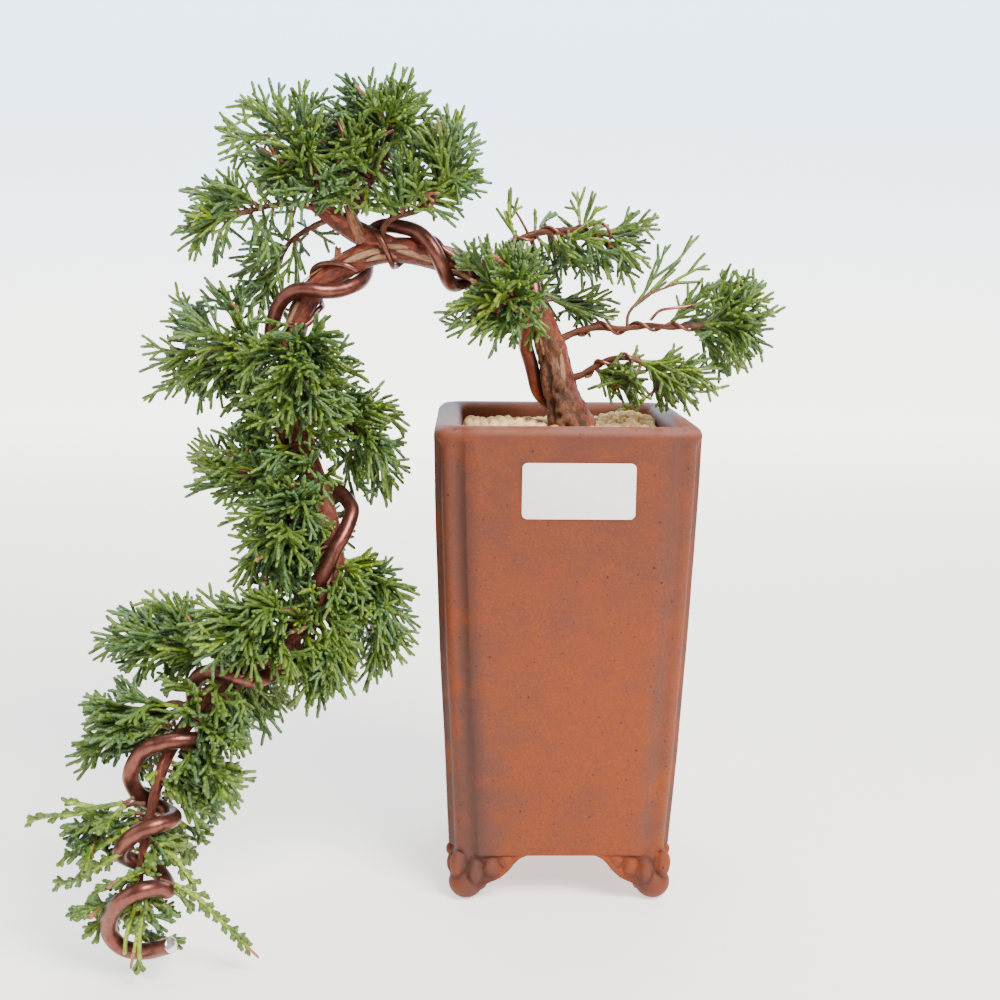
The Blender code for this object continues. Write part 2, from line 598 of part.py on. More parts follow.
# ---- foliage -------------------------------------------------------------------------------------
# A mass is an ellipsoid round its middle.  One stem runs from the limb to near that middle, shoots
# leave the stem towards targets spread evenly over the ellipsoid, and each shoot ends in a spray
# with more sprays on alternate sides of it.  Masses share the space where they meet: a point goes
# to the mass that it lies deeper in.
class Crown:
    """Knows the space of every mass and what has to be kept clear of."""

    def __init__(self, routes):
        self.names = list(MASSES)
        self.middles = np.array([MASSES[n][2] for n in self.names], float)
        self.halves = np.array([MASSES[n][3] for n in self.names], float)
        self.least = self.halves.min(axis=1)
        self.solid = {"limbs": np.vstack(list(routes.values()))}

    def depth(self, points):
        """How far out each point lies in each mass: 0 in its middle and 1 on its skin."""
        scaled = (points[:, None, :] - self.middles[None]) / self.halves[None]
        return np.linalg.norm(scaled, axis=2)

    def free(self, points, owner, limit=1.0):
        """Whether a stroke stays in the owner's share, out to a limit, and keeps off all else."""
        return self.owns(points, owner, limit) and self.clear(points, owner)

    def clear(self, points, owner):
        """Whether a stroke keeps off every limb, wire, pot, floor and other mass's stem."""
        if (points[:, 2] < BLADE_REACH + FLOOR_CLEAR).any():
            return False
        over_pot = (np.abs(points[:, :2]) < POT_HALF_TOP + BLADE_REACH + TWIG_CLEAR).all(axis=1)
        if (over_pot & (points[:, 2] < POT_HEIGHT + BLADE_REACH + TWIG_CLEAR)).any():
            return False
        for name, capsule in self.solid.items():
            if name == owner:
                continue
            apart = np.linalg.norm(points[:, None, :] - capsule[None, :, :3], axis=2)
            if (apart < capsule[None, :, 3] + BLADE_REACH + TWIG_CLEAR).any():
                return False
        return True

    def owns(self, points, owner, limit=1.0):
        """Whether the points lie in the owner's share and no further out than the limit."""
        deep = self.depth(points)
        mine = self.names.index(owner)
        own = deep[:, mine]
        if (own > limit).any():
            return False
        keep = BLADE_REACH + TWIG_CLEAR / 2
        for other in range(len(self.names)):
            if other == mine:
                continue
            outside = deep[:, other] >= 1.0 + keep / self.least[other]
            nearer = deep[:, other] - own >= keep * (1 / self.least[other] + 1 / self.least[mine])
            if not (outside | nearer).all():
                return False
        return True


def bend(start, pull, end, count):
    """A quadratic curve from start to end that sets off towards pull."""
    t = np.linspace(0, 1, count)[:, None]
    return (1 - t) ** 2 * start + 2 * t * (1 - t) * pull + t**2 * end


def stem_room(crown, stem):
    """The least space left round a stem, at its root and along the rest of it."""
    limbs = crown.solid["limbs"]
    apart = np.linalg.norm(stem[:, None] - limbs[None, :, :3], axis=2) - limbs[None, :, 3]
    return min(apart[1:].min() - STEM_RADII[0], apart[0].min() + STEM_ROOT_EASE)


def grow_stem(crown, routes, name):
    """The stem from 0.3 mm off its limb to the middle of the mass, from the clearest place near by."""
    limb, fraction, middle, _, _, _ = MASSES[name]
    route = routes[limb]
    middle = np.array(middle, float)
    t = tangents(route)
    if fraction >= 1.0:
        start = route[-1, :3] + (GAP + 0.05) * t[-1]
        ahead = start + 0.35 * np.linalg.norm(middle - start) * t[-1]
        return bend(start, ahead, middle, STEM_POINTS)
    choices = []
    for shift in STEM_SHIFTS:
        k = int(round(fraction * (len(route) - 1))) + shift
        if not 1 <= k < len(route) - 1:
            continue
        across = middle - route[k, :3]
        flat = unit(across - t[k] * (across @ t[k]))
        for roll in STEM_ROLLS:
            out = turned(flat, t[k], roll)
            start = route[k, :3] + (route[k, 3] + GAP + 0.1) * out
            pull = start + 0.4 * np.linalg.norm(middle - start) * out
            stem = bend(start, pull, middle, STEM_POINTS)
            score = stem_room(crown, stem) - 0.05 * abs(shift) - 0.01 * abs(roll)
            choices.append((score, len(choices), stem))
    return max(choices)[2]


def turned(vector, axis, degrees):
    """The vector turned about an axis, by Rodrigues' formula."""
    a = math.radians(degrees)
    return (vector * math.cos(a) + np.cross(axis, vector) * math.sin(a)
            + axis * (axis @ vector) * (1 - math.cos(a)))


def shoot_targets(name, rng):
    """The points that a mass's shoots grow towards, and the limit that each may grow out to."""
    _, _, middle, half, count, tips = MASSES[name]
    middle, half = np.array(middle, float), np.array(half, float)
    targets = [(np.array(tip, float), float("inf")) for tip in tips]
    golden = math.pi * (3 - math.sqrt(5))
    for k in range(count):
        height = 1 - 2 * (k + 0.5) / count
        level = math.sqrt(1 - height * height)
        turn = golden * k + rng.uniform(-0.3, 0.3)
        way = np.array([level * math.cos(turn), level * math.sin(turn), height])
        targets.append((middle + half * way * rng.uniform(*SHOOT_REACH), 1.0))
    return targets


def name_seed(name):
    return sum(ord(letter) * (k + 1) for k, letter in enumerate(name))


def grow_shoots(crown, stem, name):
    """The shoots of a mass, each a flat curve with the side sprays that stand on it."""
    middle = np.array(MASSES[name][2], float)
    targets = shoot_targets(name, random.Random(name_seed(name)))
    shoots = []
    taken = np.empty((0, 3))
    for order, (target, limit) in enumerate(targets):
        for attempt, shorter in enumerate(SHOOT_TRIES):
            if math.isinf(limit):
                shorter = 1.0
            place = (0.65 * order / max(1, len(targets) - 1) + 0.17 * attempt) % 0.68 + 0.3
            root = stem[int(place * (len(stem) - 1))]
            end = middle + (target - middle) * shorter
            ahead = unit(stem[-1] - stem[0]) + 0.6 * unit(end - root)
            pull = root + 0.35 * np.linalg.norm(end - root) * ahead
            curve = bend(root, pull, end, CURVE_POINTS)
            if crown.free(curve[2:], name, limit) and apart_from(taken, curve[3:]):
                teeth = grow_teeth(crown, curve, name, taken)
                shoots.append((curve, teeth))
                taken = np.vstack([taken, curve[2:], *[line for _, _, line in teeth]])
                break
    return shoots


def apart_from(taken, points):
    """Whether points keep off the shoots that their own mass already has."""
    if not len(taken):
        return True
    return np.linalg.norm(points[:, None] - taken[None], axis=2).min() > 2 * BLADE_REACH + TWIG_CLEAR


def curve_sides(curve):
    """The direction to one side of a flat curve at each of its points, in the curve's own plane."""
    across = np.cross(curve[-1] - curve[0], curve[len(curve) // 2] - curve[0])
    if np.linalg.norm(across) < 0.5:
        across = np.cross(curve[-1] - curve[0], (0.3, 0.2, 0.93))
    return np.cross(unit(across), tangents(curve)), unit(across)


def grow_teeth(crown, curve, name, taken):
    """Where side sprays stand on a shoot: index, side and line, on alternate sides."""
    sides, _ = curve_sides(curve)
    lean = math.radians(SPRAY_ANGLE)
    length = distances(curve)[-1]
    own_reach = crown.depth(curve[-1:])[0, crown.names.index(name)]
    limit = max(1.0, NAMED_LIMIT * own_reach)
    teeth = []
    for step, k in enumerate(TOOTH_POINTS):
        hand = 1 if step % 2 else -1
        way = math.cos(lean) * tangents(curve)[k] + hand * math.sin(lean) * sides[k]
        for shorter in SPRAY_TRIES:
            reach = shorter * min(SPRAY_LENGTH[1], max(SPRAY_LENGTH[0], 0.5 * length))
            line = bend(curve[k], curve[k] + 0.5 * reach * way, curve[k] + reach * way, 5)
            if crown.free(line[1:], name, limit) and apart_from(taken, line[1:]):
                teeth.append((k, hand, line))
                break
    return teeth


def toothed_blade(curve, teeth):
    """A flat shoot with a point for each of its sprays, as one closed solid."""
    sides, across = curve_sides(curve)
    edges = {1: [], -1: []}
    for hand in (1, -1):
        own = {k: line[-1] for k, side, line in teeth if side == hand}
        for k in range(len(curve) - 1):
            width = BLADE_HALF * (1 - 0.4 * k / (len(curve) - 1))
            edge = curve[k] + hand * width * sides[k]
            if k in own:
                after = curve[k] + (curve[k + 1] - curve[k]) * 0.9 + hand * width * sides[k]
                edges[hand] += [edge, own[k], after]
            elif k == 0 or (k == len(curve) // 2 and not own):
                edges[hand].append(edge)
    outline = edges[1] + [curve[-1]] + edges[-1][::-1]
    near = [point - BLADE_THICK / 2 * across for point in outline]
    far = [point + BLADE_THICK / 2 * across for point in outline]
    return rings_mesh([near, far])


def make_mass(crown, stem, name, finish):
    """Stem and shoots of one mass, joined by one Boolean union."""
    shoots = grow_shoots(crown, stem, name)
    body = joined_mass(name, stem, shoots, "EXACT")
    if not is_closed(body):
        bpy.data.objects.remove(body)
        body = joined_mass(name, stem, shoots, "MANIFOLD")
    body.data.materials.clear()
    body.data.materials.append(finish)
    keep_largest_piece(body)


def joined_mass(name, stem, shoots, solver):
    radii = np.linspace(*STEM_RADII, len(stem))
    body = add_object(name, *tube(stem, radii, STEM_SIDES, STEM_POINTS // 2))
    pieces = [add_object("shoot", *toothed_blade(*shoot)) for shoot in shoots]
    for piece in [body, *pieces]:
        outward(piece)
    fuse(body, pieces, solver)
    return body


def make_foliage(routes):
    finish = material("juniper_leaf", LEAF_GREEN, 0.6)
    crown = Crown(routes)
    stems = {name: grow_stem(crown, routes, name) for name in MASSES}
    for name, stem in stems.items():
        radii = np.linspace(*STEM_RADII, len(stem))
        crown.solid[name] = smooth_route(np.column_stack([stem, radii]), 2.0)
    for name, stem in stems.items():
        make_mass(crown, stem, name, finish)


def place_on_origin():
    """Moves the whole so that its bounding box stands centred on the origin."""
    bpy.context.view_layer.update()
    corners = np.array([tuple(thing.matrix_world @ v.co) for thing in bpy.data.objects
                        for v in thing.data.vertices])
    low, high = corners.min(axis=0), corners.max(axis=0)
    shift = np.array([-(low[0] + high[0]) / 2, -(low[1] + high[1]) / 2, 0.0])
    for thing in bpy.data.objects:
        thing.data.transform(Matrix.Translation(shift))


def main():
    for thing in list(bpy.data.objects):
        bpy.data.objects.remove(thing)
    make_pot()
    make_soil()
    routes = make_trunk()
    make_boughs(routes)
    make_wires(routes)
    del routes["trunk"]
    make_foliage(routes)
    place_on_origin()


main()
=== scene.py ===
"""The looks of a juniper bonsai that cascades out of a tall square stoneware pot.

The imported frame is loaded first.  Shapes are laid out in millimetres about the pot's own axis, with
z = 0 under its feet and the front of the pot towards -Y, and are then moved onto the frame's pot.
"""

import json
import math
import random
from types import SimpleNamespace

import bmesh
import bpy
import numpy as np
from mathutils import Matrix, Vector, noise
from mathutils.kdtree import KDTree

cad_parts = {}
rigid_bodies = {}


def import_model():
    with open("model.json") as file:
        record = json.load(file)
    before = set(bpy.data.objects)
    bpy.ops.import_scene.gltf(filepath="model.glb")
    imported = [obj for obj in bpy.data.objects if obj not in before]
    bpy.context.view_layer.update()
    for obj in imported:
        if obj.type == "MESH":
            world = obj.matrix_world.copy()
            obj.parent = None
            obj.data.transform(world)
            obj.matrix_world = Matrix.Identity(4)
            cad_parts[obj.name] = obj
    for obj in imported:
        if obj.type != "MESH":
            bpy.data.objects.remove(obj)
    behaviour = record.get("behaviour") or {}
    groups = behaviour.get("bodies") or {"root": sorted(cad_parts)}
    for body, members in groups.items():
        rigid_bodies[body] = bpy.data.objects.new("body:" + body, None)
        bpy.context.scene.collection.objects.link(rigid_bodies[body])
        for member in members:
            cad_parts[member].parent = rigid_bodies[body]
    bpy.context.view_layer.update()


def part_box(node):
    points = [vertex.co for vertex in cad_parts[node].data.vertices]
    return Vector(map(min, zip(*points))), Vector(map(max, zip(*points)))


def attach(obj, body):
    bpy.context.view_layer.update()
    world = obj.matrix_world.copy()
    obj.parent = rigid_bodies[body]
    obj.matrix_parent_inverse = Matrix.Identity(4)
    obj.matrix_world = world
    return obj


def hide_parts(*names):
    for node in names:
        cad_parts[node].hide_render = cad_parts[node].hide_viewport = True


bl_info = {
    "name": "Juniper Bonsai",
    "version": (1, 0, 0),
    "blender": (4, 5, 0),
    "location": "View3D > Sidebar > Juniper",
    "description": "Dresses the frame of a cascading juniper bonsai in a stoneware pot",
    "category": "Object",
}

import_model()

MM = 0.001
GAP = 0.3  # between pieces that meet, as in the frame, mm
POT_LOW, POT_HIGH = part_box("pot")
POT_AXIS = np.array([(POT_LOW.x + POT_HIGH.x) / 2, (POT_LOW.y + POT_HIGH.y) / 2, 0.0])
POT_HEIGHT = (POT_HIGH.z - POT_LOW.z) / MM

# ---- the pot's shape, mm ----
POT_CURVE = 1.4  # how the taper gathers towards the foot
POST_STEP = 2.6  # how far a corner post stands back from the panels
POST_WIDTH = 8.5
POST_SOFT = 4.6  # width of the hollow between a panel and its corner post
APRON = 18.0  # the underside between the feet
POT_FLOOR = 27.0
SOIL_LEVEL = 171.0
LABEL_SIZE = (39.2, 19.6)
LABEL_MIDDLE = (3.3, 154.7)  # across and up the front panel
LABEL_CORNER = 1.9

# ---- the trunk: x, y, z and radius, from the soil over the arch to the tip of the cascade ----
TRUNK = (
    (5, 4, SOIL_LEVEL + GAP, 8.8), (2.2, 4, 178, 7), (0, 4, 184.5, 6.2),
    (-3.5, 4, 199, 5.4), (-9.5, 3.5, 213, 5.1), (-20, 2, 223.5, 5),
    (-34, -0.5, 230, 4.9), (-52, -4, 235, 4.7), (-66, -6.5, 235.8, 4.6),
    (-80, -8.5, 230, 4.3), (-92.5, -10.5, 219, 4.2), (-98, -13, 204, 4.1),
    (-98.5, -16.5, 188, 4), (-94.5, -22, 168, 4), (-86.5, -29, 147, 3.9),
    (-82.5, -35.5, 127, 3.9), (-87, -44, 112, 3.9), (-101, -54, 101.5, 3.9),
    (-120, -64, 88.5, 4), (-133, -76, 71.5, 3.7), (-138.5, -86, 50, 3.2),
    (-140.5, -91, 33, 2.5), (-140.5, -93, 17, 1.6),
)
TRUNK_LIMBS = (
    ("trunk_base", 0, 5), ("trunk_arch", 5, 9), ("cascade_upper", 9, 13),
    ("cascade_middle", 13, 15), ("cascade_turn", 15, 18), ("cascade_tail", 18, 22),
)
TRUNK_BURIED = 3.0  # how far the trunk and the heavy wire go on into the soil, mm
TAIL_THINS = ((285, 320, 350), (1.0, 0.66, 0.46))  # distances along the trunk, shares of its radius
LIVE_STRIP = 0.16  # the turn round the trunk of the strip of live bark in its old bark
# knots and scars: distance along the trunk in mm, turn round it (0 in front), radius and height
KNOTS = (
    (9.5, -0.08, 3.0, 1.7), (10.5, 0.13, 1.9, 1.4), (14.0, 0.02, 2.2, 1.0), (18.5, -0.05, 3.1, 1.5),
    (23.5, -0.12, 2.4, 1.0), (22.0, 0.55, 4.0, 1.5), (33.5, 0.10, 3.0, 1.6), (41.0, 0.02, 2.6, 0.9),
    (56.0, 0.45, 3.6, 1.2), (99.0, 0.10, 4.5, 1.0), (121.0, 0.55, 3.5, 1.1), (163.0, 0.05, 3.6, 1.0),
    (196.0, 0.40, 3.2, 0.9), (240.0, 0.1, 3.2, 0.9), (287.0, 0.05, 3.4, 1.0), (318.0, 0.6, 3.0, 0.8),
)

# ---- boughs: the limb they leave, their points, and their radii at root and tip ----
BOUGHS = {
    "apex_limb": ("trunk_arch", (
        (-63, -6, 236), (-75, -6.5, 242), (-84, -7, 247.5), (-91, -7, 253)), 4.8, 3.0),
    "crown_bough": ("apex_limb", (
        (-79, -6.5, 243), (-76, -5, 252), (-70, -4, 262), (-65, -3, 270)), 2.2, 1.3),
    "crown_left_bough": ("apex_limb", (
        (-84, -7, 247), (-87, -10, 257), (-91, -11, 265), (-95, -11, 271)), 1.9, 1.2),
    "crown_right_bough": ("trunk_arch", (
        (-68, -6, 237), (-64, -12, 246), (-54, -14, 249.5), (-49, -14, 252)), 1.2, 0.85),
    "left_bough": ("apex_limb", (
        (-88, -7, 250), (-98, -9, 252), (-106, -11, 251), (-113, -12, 249)), 1.3, 0.8),
    "hanging_bough": ("apex_limb", (
        (-85, -6, 247), (-94, -2, 243), (-101, 0, 238), (-105, 1, 231)), 1.1, 0.8),
    "upper_right_bough": ("trunk_base", (
        (-9, 4, 212), (-11, 9, 221), (-17, 9.5, 231), (-19, 7.5, 237), (-13, 4.5, 242),
        (0, 4.5, 244), (12, 5, 244)), 1.5, 1.0),
    "right_bough": ("trunk_base", (
        (-4.5, 4, 201), (3, 6.6, 205.6), (13, 6.5, 208.4), (23, 6.0, 207.9), (32, 5.5, 209.3),
        (41, 5.0, 208.7), (50, 4.5, 209.5)), 1.4, 0.95),
    "low_right_bough": ("trunk_base", (
        (-1, 4, 188.5), (7, 3.2, 190.6), (12, 2, 193.6), (19, 0, 197.2), (26, -2, 197.5)), 1.4, 0.95),
}

# ---- wires: distance along the trunk in mm, turns, where a whole turn is in front, and lift ----
WIRE_TURNS = (
    (2, -0.50, 2.9), (9, -0.43, 3.0), (16, -0.32, 3.3), (34, -0.25, 3.6), (45, -0.07, 3.3), (62, 0.30, 3.3),
    (75, 0.62, 3.3), (86, 0.92, 3.3), (96, 1.15, 3.3), (102, 1.26, 3.4), (106, 1.31, 4.9),
    (110, 1.38, 7.0), (114, 1.50, 5.6), (118, 1.64, 3.5), (124, 1.77, 3.3), (131, 1.85, 3.3),
    (137, 1.96, 3.3), (142, 2.13, 3.3),
    (148, 2.23, 4.3), (157, 2.29, 4.8), (166, 2.55, 3.3), (200, 3.35, 3.3), (214, 3.62, 3.4),
    (219, 3.72, 4.6), (223, 3.76, 6.0), (229, 3.84, 4.2), (237, 3.98, 3.3), (249, 4.08, 3.3),
    (262, 4.42, 3.3), (276, 4.72, 4.2), (286, 4.80, 3.3), (295, 4.99, 3.3), (305, 5.32, 3.3),
    (315, 5.66, 3.3), (325, 6.03, 3.3), (331, 6.20, 5.0), (338, 6.27, 6.2), (344, 6.40, 5.2),
    (347, 6.60, 4.6), (349, 6.80, 4.4), (352, 6.98, 3.9), (358, 7.15, 3.6), (362, 7.27, 4.2),
    (366, 7.48, 4.6), (368, 7.62, 5.6),
)
WIRE_HOOK = (
    (-130.4, -90.0, 29.0), (-135.5, -98.0, 34.2), (-142.7, -100.0, 32.0), (-148.1, -97.0, 25.2),
    (-150.5, -93.0, 16.5), (-146.8, -91.5, 10.3), (-139.2, -93.0, 9.7), (-129.4, -98.0, 14.6),
)
THIN_WIRE_TURNS = (
    ((70, -0.20, 1.5), (78, 0.01, 1.5), (88, 0.08, 1.5), (93, 0.30, 1.5), (100, 0.60, 1.5),
     (105, 0.75, 1.5), (108, 1.00, 1.6), (110, 1.17, 3.4)),
    ((121, 1.90, 1.5), (123.5, 2.00, 1.6), (128.5, 2.13, 1.5), (133, 2.27, 1.5),
     (138, 2.55, 1.5), (142, 2.80, 1.5), (149, 2.84, 1.5), (154, 2.97, 1.5)),
)
BOUGH_WIRES = (
    ("upper_right_bough", 3.0, 0.30, 0.98),
    ("right_bough", 3.2, 0.10, 0.98),
    ("low_right_bough", 1.9, 0.12, 0.98),
)
# short fine wires that run on past a bough or hook over it, mm
LOOSE_WIRES = (
    ((33.0, 2.6, 211.5), (36.0, 0.5, 215.0), (41.3, 0.0, 216.1), (47.3, 1.0, 216.9), (52.5, 1.0, 218.4)),
    ((9.5, 5.6, 245.8), (12.4, 3.0, 246.6), (14.6, 2.0, 246.4), (16.9, 1.8, 243.2),
     (16.7, 1.6, 238.5), (16.4, 2.0, 233.4)),
    ((17.4, 0.0, 186.2), (23.2, -2.0, 187.7), (27.5, -4.0, 191.4)),
    ((-81.4, -14.0, 280.0), (-79.7, -15.0, 276.3), (-79.0, -14.0, 272.9)),
    ((-79.0, -9.0, 272.5), (-68.4, -11.0, 274.7), (-62.4, -10.0, 277.6)),
)

# ---- foliage masses: the limb that the stem leaves and how far along it, the middle of the mass,
# ---- its half sizes, the number of its shoots in the frame, and named furthest tips ----
MASSES = {
    "crown_left": ("crown_left_bough", 1.0, (-97, -12, 275), (26, 20, 19), 6, ((-115, -12, 287),)),
    "crown_top": ("crown_bough", 1.0, (-67, -6, 283), (23, 20, 17), 6, ((-57, -6, 300),)),
    "crown_right": ("crown_right_bough", 1.0, (-46, -10, 266), (17, 18, 22), 7, ((-30, -12, 262),)),
    "crown_back": ("crown_bough", 0.45, (-78, 18, 270), (25, 17, 21), 5, ()),
    "left_spray": ("left_bough", 1.0, (-125, -13, 247), (15, 14, 16), 5, ((-139, -14, 242),)),
    "hanging_spray": ("hanging_bough", 1.0, (-109, 2, 226), (14, 13, 17), 4, ()),
    "shoulder": ("trunk_base", 0.93, (-24, -18, 221), (23, 15, 21), 7, ((-27, -20, 199),)),
    "shoulder_back": ("trunk_base", 0.80, (-22, 22, 224), (22, 17, 19), 5, ()),
    "shoulder_right": ("trunk_base", 0.62, (8, 13, 213), (15, 11, 9), 3, ((20, 10, 211),)),
    "upper_right": ("upper_right_bough", 1.0, (15, 5, 239), (22, 16, 17), 6, ((35, 4, 250),)),
    "upright_sprig": ("upper_right_bough", 0.30, (-19.5, 4, 253), (5, 6, 8), 0, ((-19, 4, 260),)),
    "right_spray": ("right_bough", 1.0, (65, 4, 211), (16, 17, 21), 7, ((81, 3, 215),)),
    "right_sprig": ("right_bough", 0.72, (43, 4, 225), (12, 8, 12), 0,
                    ((38, 4, 239), (48, 4, 241), (54, 4, 232))),
    "low_right": ("low_right_bough", 1.0, (37, -4, 189), (24, 15, 12), 5,
                  ((60, -5, 187), (11, -4, 187))),
    "cascade_left_top": ("cascade_upper", 0.55, (-128, -12, 200), (24, 18, 25), 7,
                         ((-153, -12, 181),)),
    "cascade_front": ("cascade_upper", 0.62, (-95, -34, 190), (21, 16, 26), 7, ()),
    "cascade_right": ("cascade_upper", 0.92, (-71, -20, 168), (15, 17, 23), 6, ((-61, -22, 152),)),
    "cascade_back": ("cascade_upper", 0.80, (-96, 9, 178), (23, 17, 26), 5, ()),
    "cascade_left_mid": ("cascade_middle", 0.20, (-120, -24, 160), (18, 16, 17), 4,
                         ((-135, -24, 152),)),
    "middle_front": ("cascade_middle", 0.75, (-99, -49, 137), (19, 15, 26), 6, ()),
    "middle_back": ("cascade_middle", 0.90, (-97, -8, 128), (22, 16, 22), 5, ()),
    "turn_right": ("cascade_turn", 0.05, (-68, -36, 107), (15, 18, 26), 7, ((-57, -37, 97),)),
    "turn_under": ("cascade_turn", 0.45, (-88, -53, 92), (16, 13, 14), 4, ()),
    "turn_front": ("cascade_turn", 0.60, (-112, -68, 108), (21, 15, 17), 5, ()),
    "turn_left": ("cascade_turn", 0.85, (-143, -52, 104), (20, 18, 17), 6, ((-163, -54, 103),)),
    "turn_back": ("cascade_turn", 0.80, (-115, -38, 78), (20, 17, 17), 4, ()),
    "low_left": ("cascade_tail", 0.10, (-148, -72, 76), (18, 18, 18), 6, ((-165, -72, 68),)),
    "low_right_side": ("cascade_tail", 0.25, (-120, -80, 68), (15, 15, 20), 5, ()),
    "tail_left": ("cascade_tail", 0.62, (-156, -86, 44), (15, 14, 12), 4, ((-178, -85, 50),)),
    "tail_back": ("cascade_tail", 0.55, (-136, -66, 42), (18, 13, 19), 4, ()),
    "tail_tip": ("cascade_tail", 0.97, (-146, -90, 18), (22, 15, 15), 4,
                 ((-102, -90, 4), (-170, -86, 31), (-143, -88, 3))),
}

# masses with more sky between their shoots than the rest have, and their share of fine shoots
OPEN_MASSES = {"upper_right": 0.55, "low_right": 0.6, "left_spray": 0.7, "hanging_spray": 0.55,
               "shoulder_right": 0.6, "tail_left": 0.6, "tail_tip": 0.6}

STEM_POINTS = 9
STEM_RADII = (1.35, 0.8)
STEM_SUNK = 1.2  # how far a stem's root goes on into its limb, mm
STEM_SHIFTS = range(-8, 9)  # places along the limb that a stem tries
STEM_ROLLS = (0, 25, -25, 50, -50, 75, -75)  # degrees round the limb that it tries
SHOOT_TRIES = (1.0, 0.9, 0.8, 0.7, 0.6)  # shares of its length that a shoot tries
SHOOT_LEAST = 4.0  # the shortest shoot, mm
SHOOT_SUNK = 0.4  # how far a shoot's root is sunk into its limb, mm
SHOOT_ROOM = 0.7  # the room that the middle of a shoot keeps, mm
LIMB_REACH = (4, 26)  # how far from a mass's middle the places on its limb may be, mm
CORD_STEP = 1.9  # between the points of a cord, mm
CORD_ROUND = 0.55  # how far before its end a cord starts to round off, mm
CORD_TRIES = (1.0, 0.65, 0.4)  # shares of its length that a side cord tries
BROWNED_POINTS = 6  # the points at the end of a shoot whose tip has browned
TWIG_CLEAR = 0.1
FLOOR_CLEAR = 0.6
VIEW_CLEAR = 0.5  # round the wire that stays in view, mm
LEAF_SHADES = ("green", "deep", "blue", "fresh", "olive", "dead")
TWIG_SIDES = 6
PIECE_TRIANGLES = 185000  # the most that one piece of foliage holds
LEADER_WOOD = 0.45  # the share of a main shoot that is bare wood
SHOOT_WOOD = 0.10  # the same on a finer shoot

# shoots that leave a limb directly: the limb, the shares of its length where they start and end, their
# spacing in mm, the turn that they face and its spread, their lengths, how far out they may reach, and
# how much they hang
LIMB_SHOOTS = (
    ("cascade_upper", 0.40, 1.0, 1.2, 0.03, 0.27, 16, 26, 1.5, 0.25),
    ("cascade_middle", 0.0, 1.0, 0.5, 0.10, 0.24, 10, 22, 2.2, 0.35),
    ("cascade_turn", 0.0, 1.0, 0.5, 0.0, 0.30, 9, 20, 2.2, 0.30),
    ("cascade_tail", 0.0, 0.42, 0.5, 0.0, 0.34, 8, 17, 2.2, 0.30),
    ("cascade_tail", 0.35, 0.95, 0.7, 0.05, 0.30, 5, 10, 2.2, 0.30),
    ("crown_bough", 0.05, 1.0, 0.8, 0.0, 0.33, 14, 24, 2.0, 0.45),
    ("crown_left_bough", 0.10, 1.0, 0.9, 0.0, 0.40, 13, 22, 2.0, 0.35),
    ("crown_right_bough", 0.35, 1.0, 1.2, 0.0, 0.5, 11, 18, 1.35, 0.05),
    ("left_bough", 0.10, 1.0, 1.3, 0.2, 0.5, 12, 19, 1.9, 0.15),
    ("hanging_bough", 0.25, 1.0, 1.6, 0.0, 0.5, 8, 14, 1.7, 0.05),
    ("upper_right_bough", 0.55, 1.0, 1.8, 0.4, 0.35, 10, 17, 1.45, 0.05),
    ("low_right_bough", 0.70, 1.0, 2.4, 0.0, 0.5, 8, 13, 1.20, 0.05),
)

# stretches of the heavy wire that foliage leaves in view from the front, mm along the wire
WIRE_VIEWS = ((100, 165), (175, 215), (314, 350), (462, 503), (512, 546), (572, 640))

# shoots that show apart from the rest: whether the tip has browned, and the points of the axis, mm
LEADERS = {
    "tail_tip": (
        (True, ((-133.7, -92, 34.1), (-129.8, -92, 32.7), (-122.8, -91, 28.3), (-115.7, -90, 19.8),
                (-107.8, -90, 11.3), (-102.7, -90, 5.6))),
        (False, ((-141.4, -93, 27.6), (-140.9, -95, 26.6), (-143.2, -98.5, 19.4), (-144.1, -99, 11.8))),
        (False, ((-138.1, -93, 28.3), (-137.7, -95, 26.9), (-139.2, -98.5, 19.8), (-139.5, -99, 6))),
        (True, ((-137.6, -94, 29), (-138.6, -96, 25), (-140.8, -99.5, 14.1), (-142.3, -99.5, 7))),
        (False, ((-133.8, -93, 42.1), (-135.1, -95, 40.8), (-143.2, -97, 37.2), (-147.9, -95, 34.5),
                 (-156, -92, 29.1))),
        (False, ((-132.1, -92, 32.7), (-129.7, -92, 30.8), (-127.5, -90, 27.5), (-124.6, -89, 22.6))),
        (False, ((-142.1, -90, 44.2), (-145.8, -92, 43.4), (-155.1, -90, 36.7), (-161.2, -88, 32.3),
                 (-169.5, -86, 29.1))),
        (False, ((-133.9, -92, 45.8), (-128.9, -92, 42.3), (-125.4, -91, 36), (-122.6, -90, 31.5))),
        (False, ((-133.9, -92, 45.8), (-130.8, -94, 48), (-127.3, -93, 46.6), (-124.3, -92, 46.8))),
        (False, ((-142, -88, 50.8), (-145.5, -90, 49.8), (-149.9, -90, 46.4), (-156.5, -88, 42.6))),
    ),
    "tail_left": (
        (False, ((-142.5, -86, 59.9), (-145.9, -87, 58.3), (-155.4, -86, 56.1), (-161.9, -86, 53.8),
                 (-168.9, -86, 53.5), (-177.5, -86, 51.5))),
        (False, ((-154.6, -86, 56.3), (-158.8, -87, 57.6), (-164.2, -88, 59.2))),
        (False, ((-143.9, -86, 58.2), (-146.8, -88, 56.3), (-150.2, -88, 52.4), (-154.8, -87, 49.7))),
    ),
    "upright_sprig": (
        (False, ((-17.7, 4, 240.3), (-19.2, 4, 244.7), (-20.4, 4, 250.4), (-20.5, 4, 258.5))),
        (False, ((-19.6, 4, 248.3), (-17.8, 4, 251.2), (-15.2, 4, 252.6))),
        (False, ((-18.9, 4, 245.7), (-20.8, 4.5, 247.5), (-22.3, 5, 251))),
    ),
}


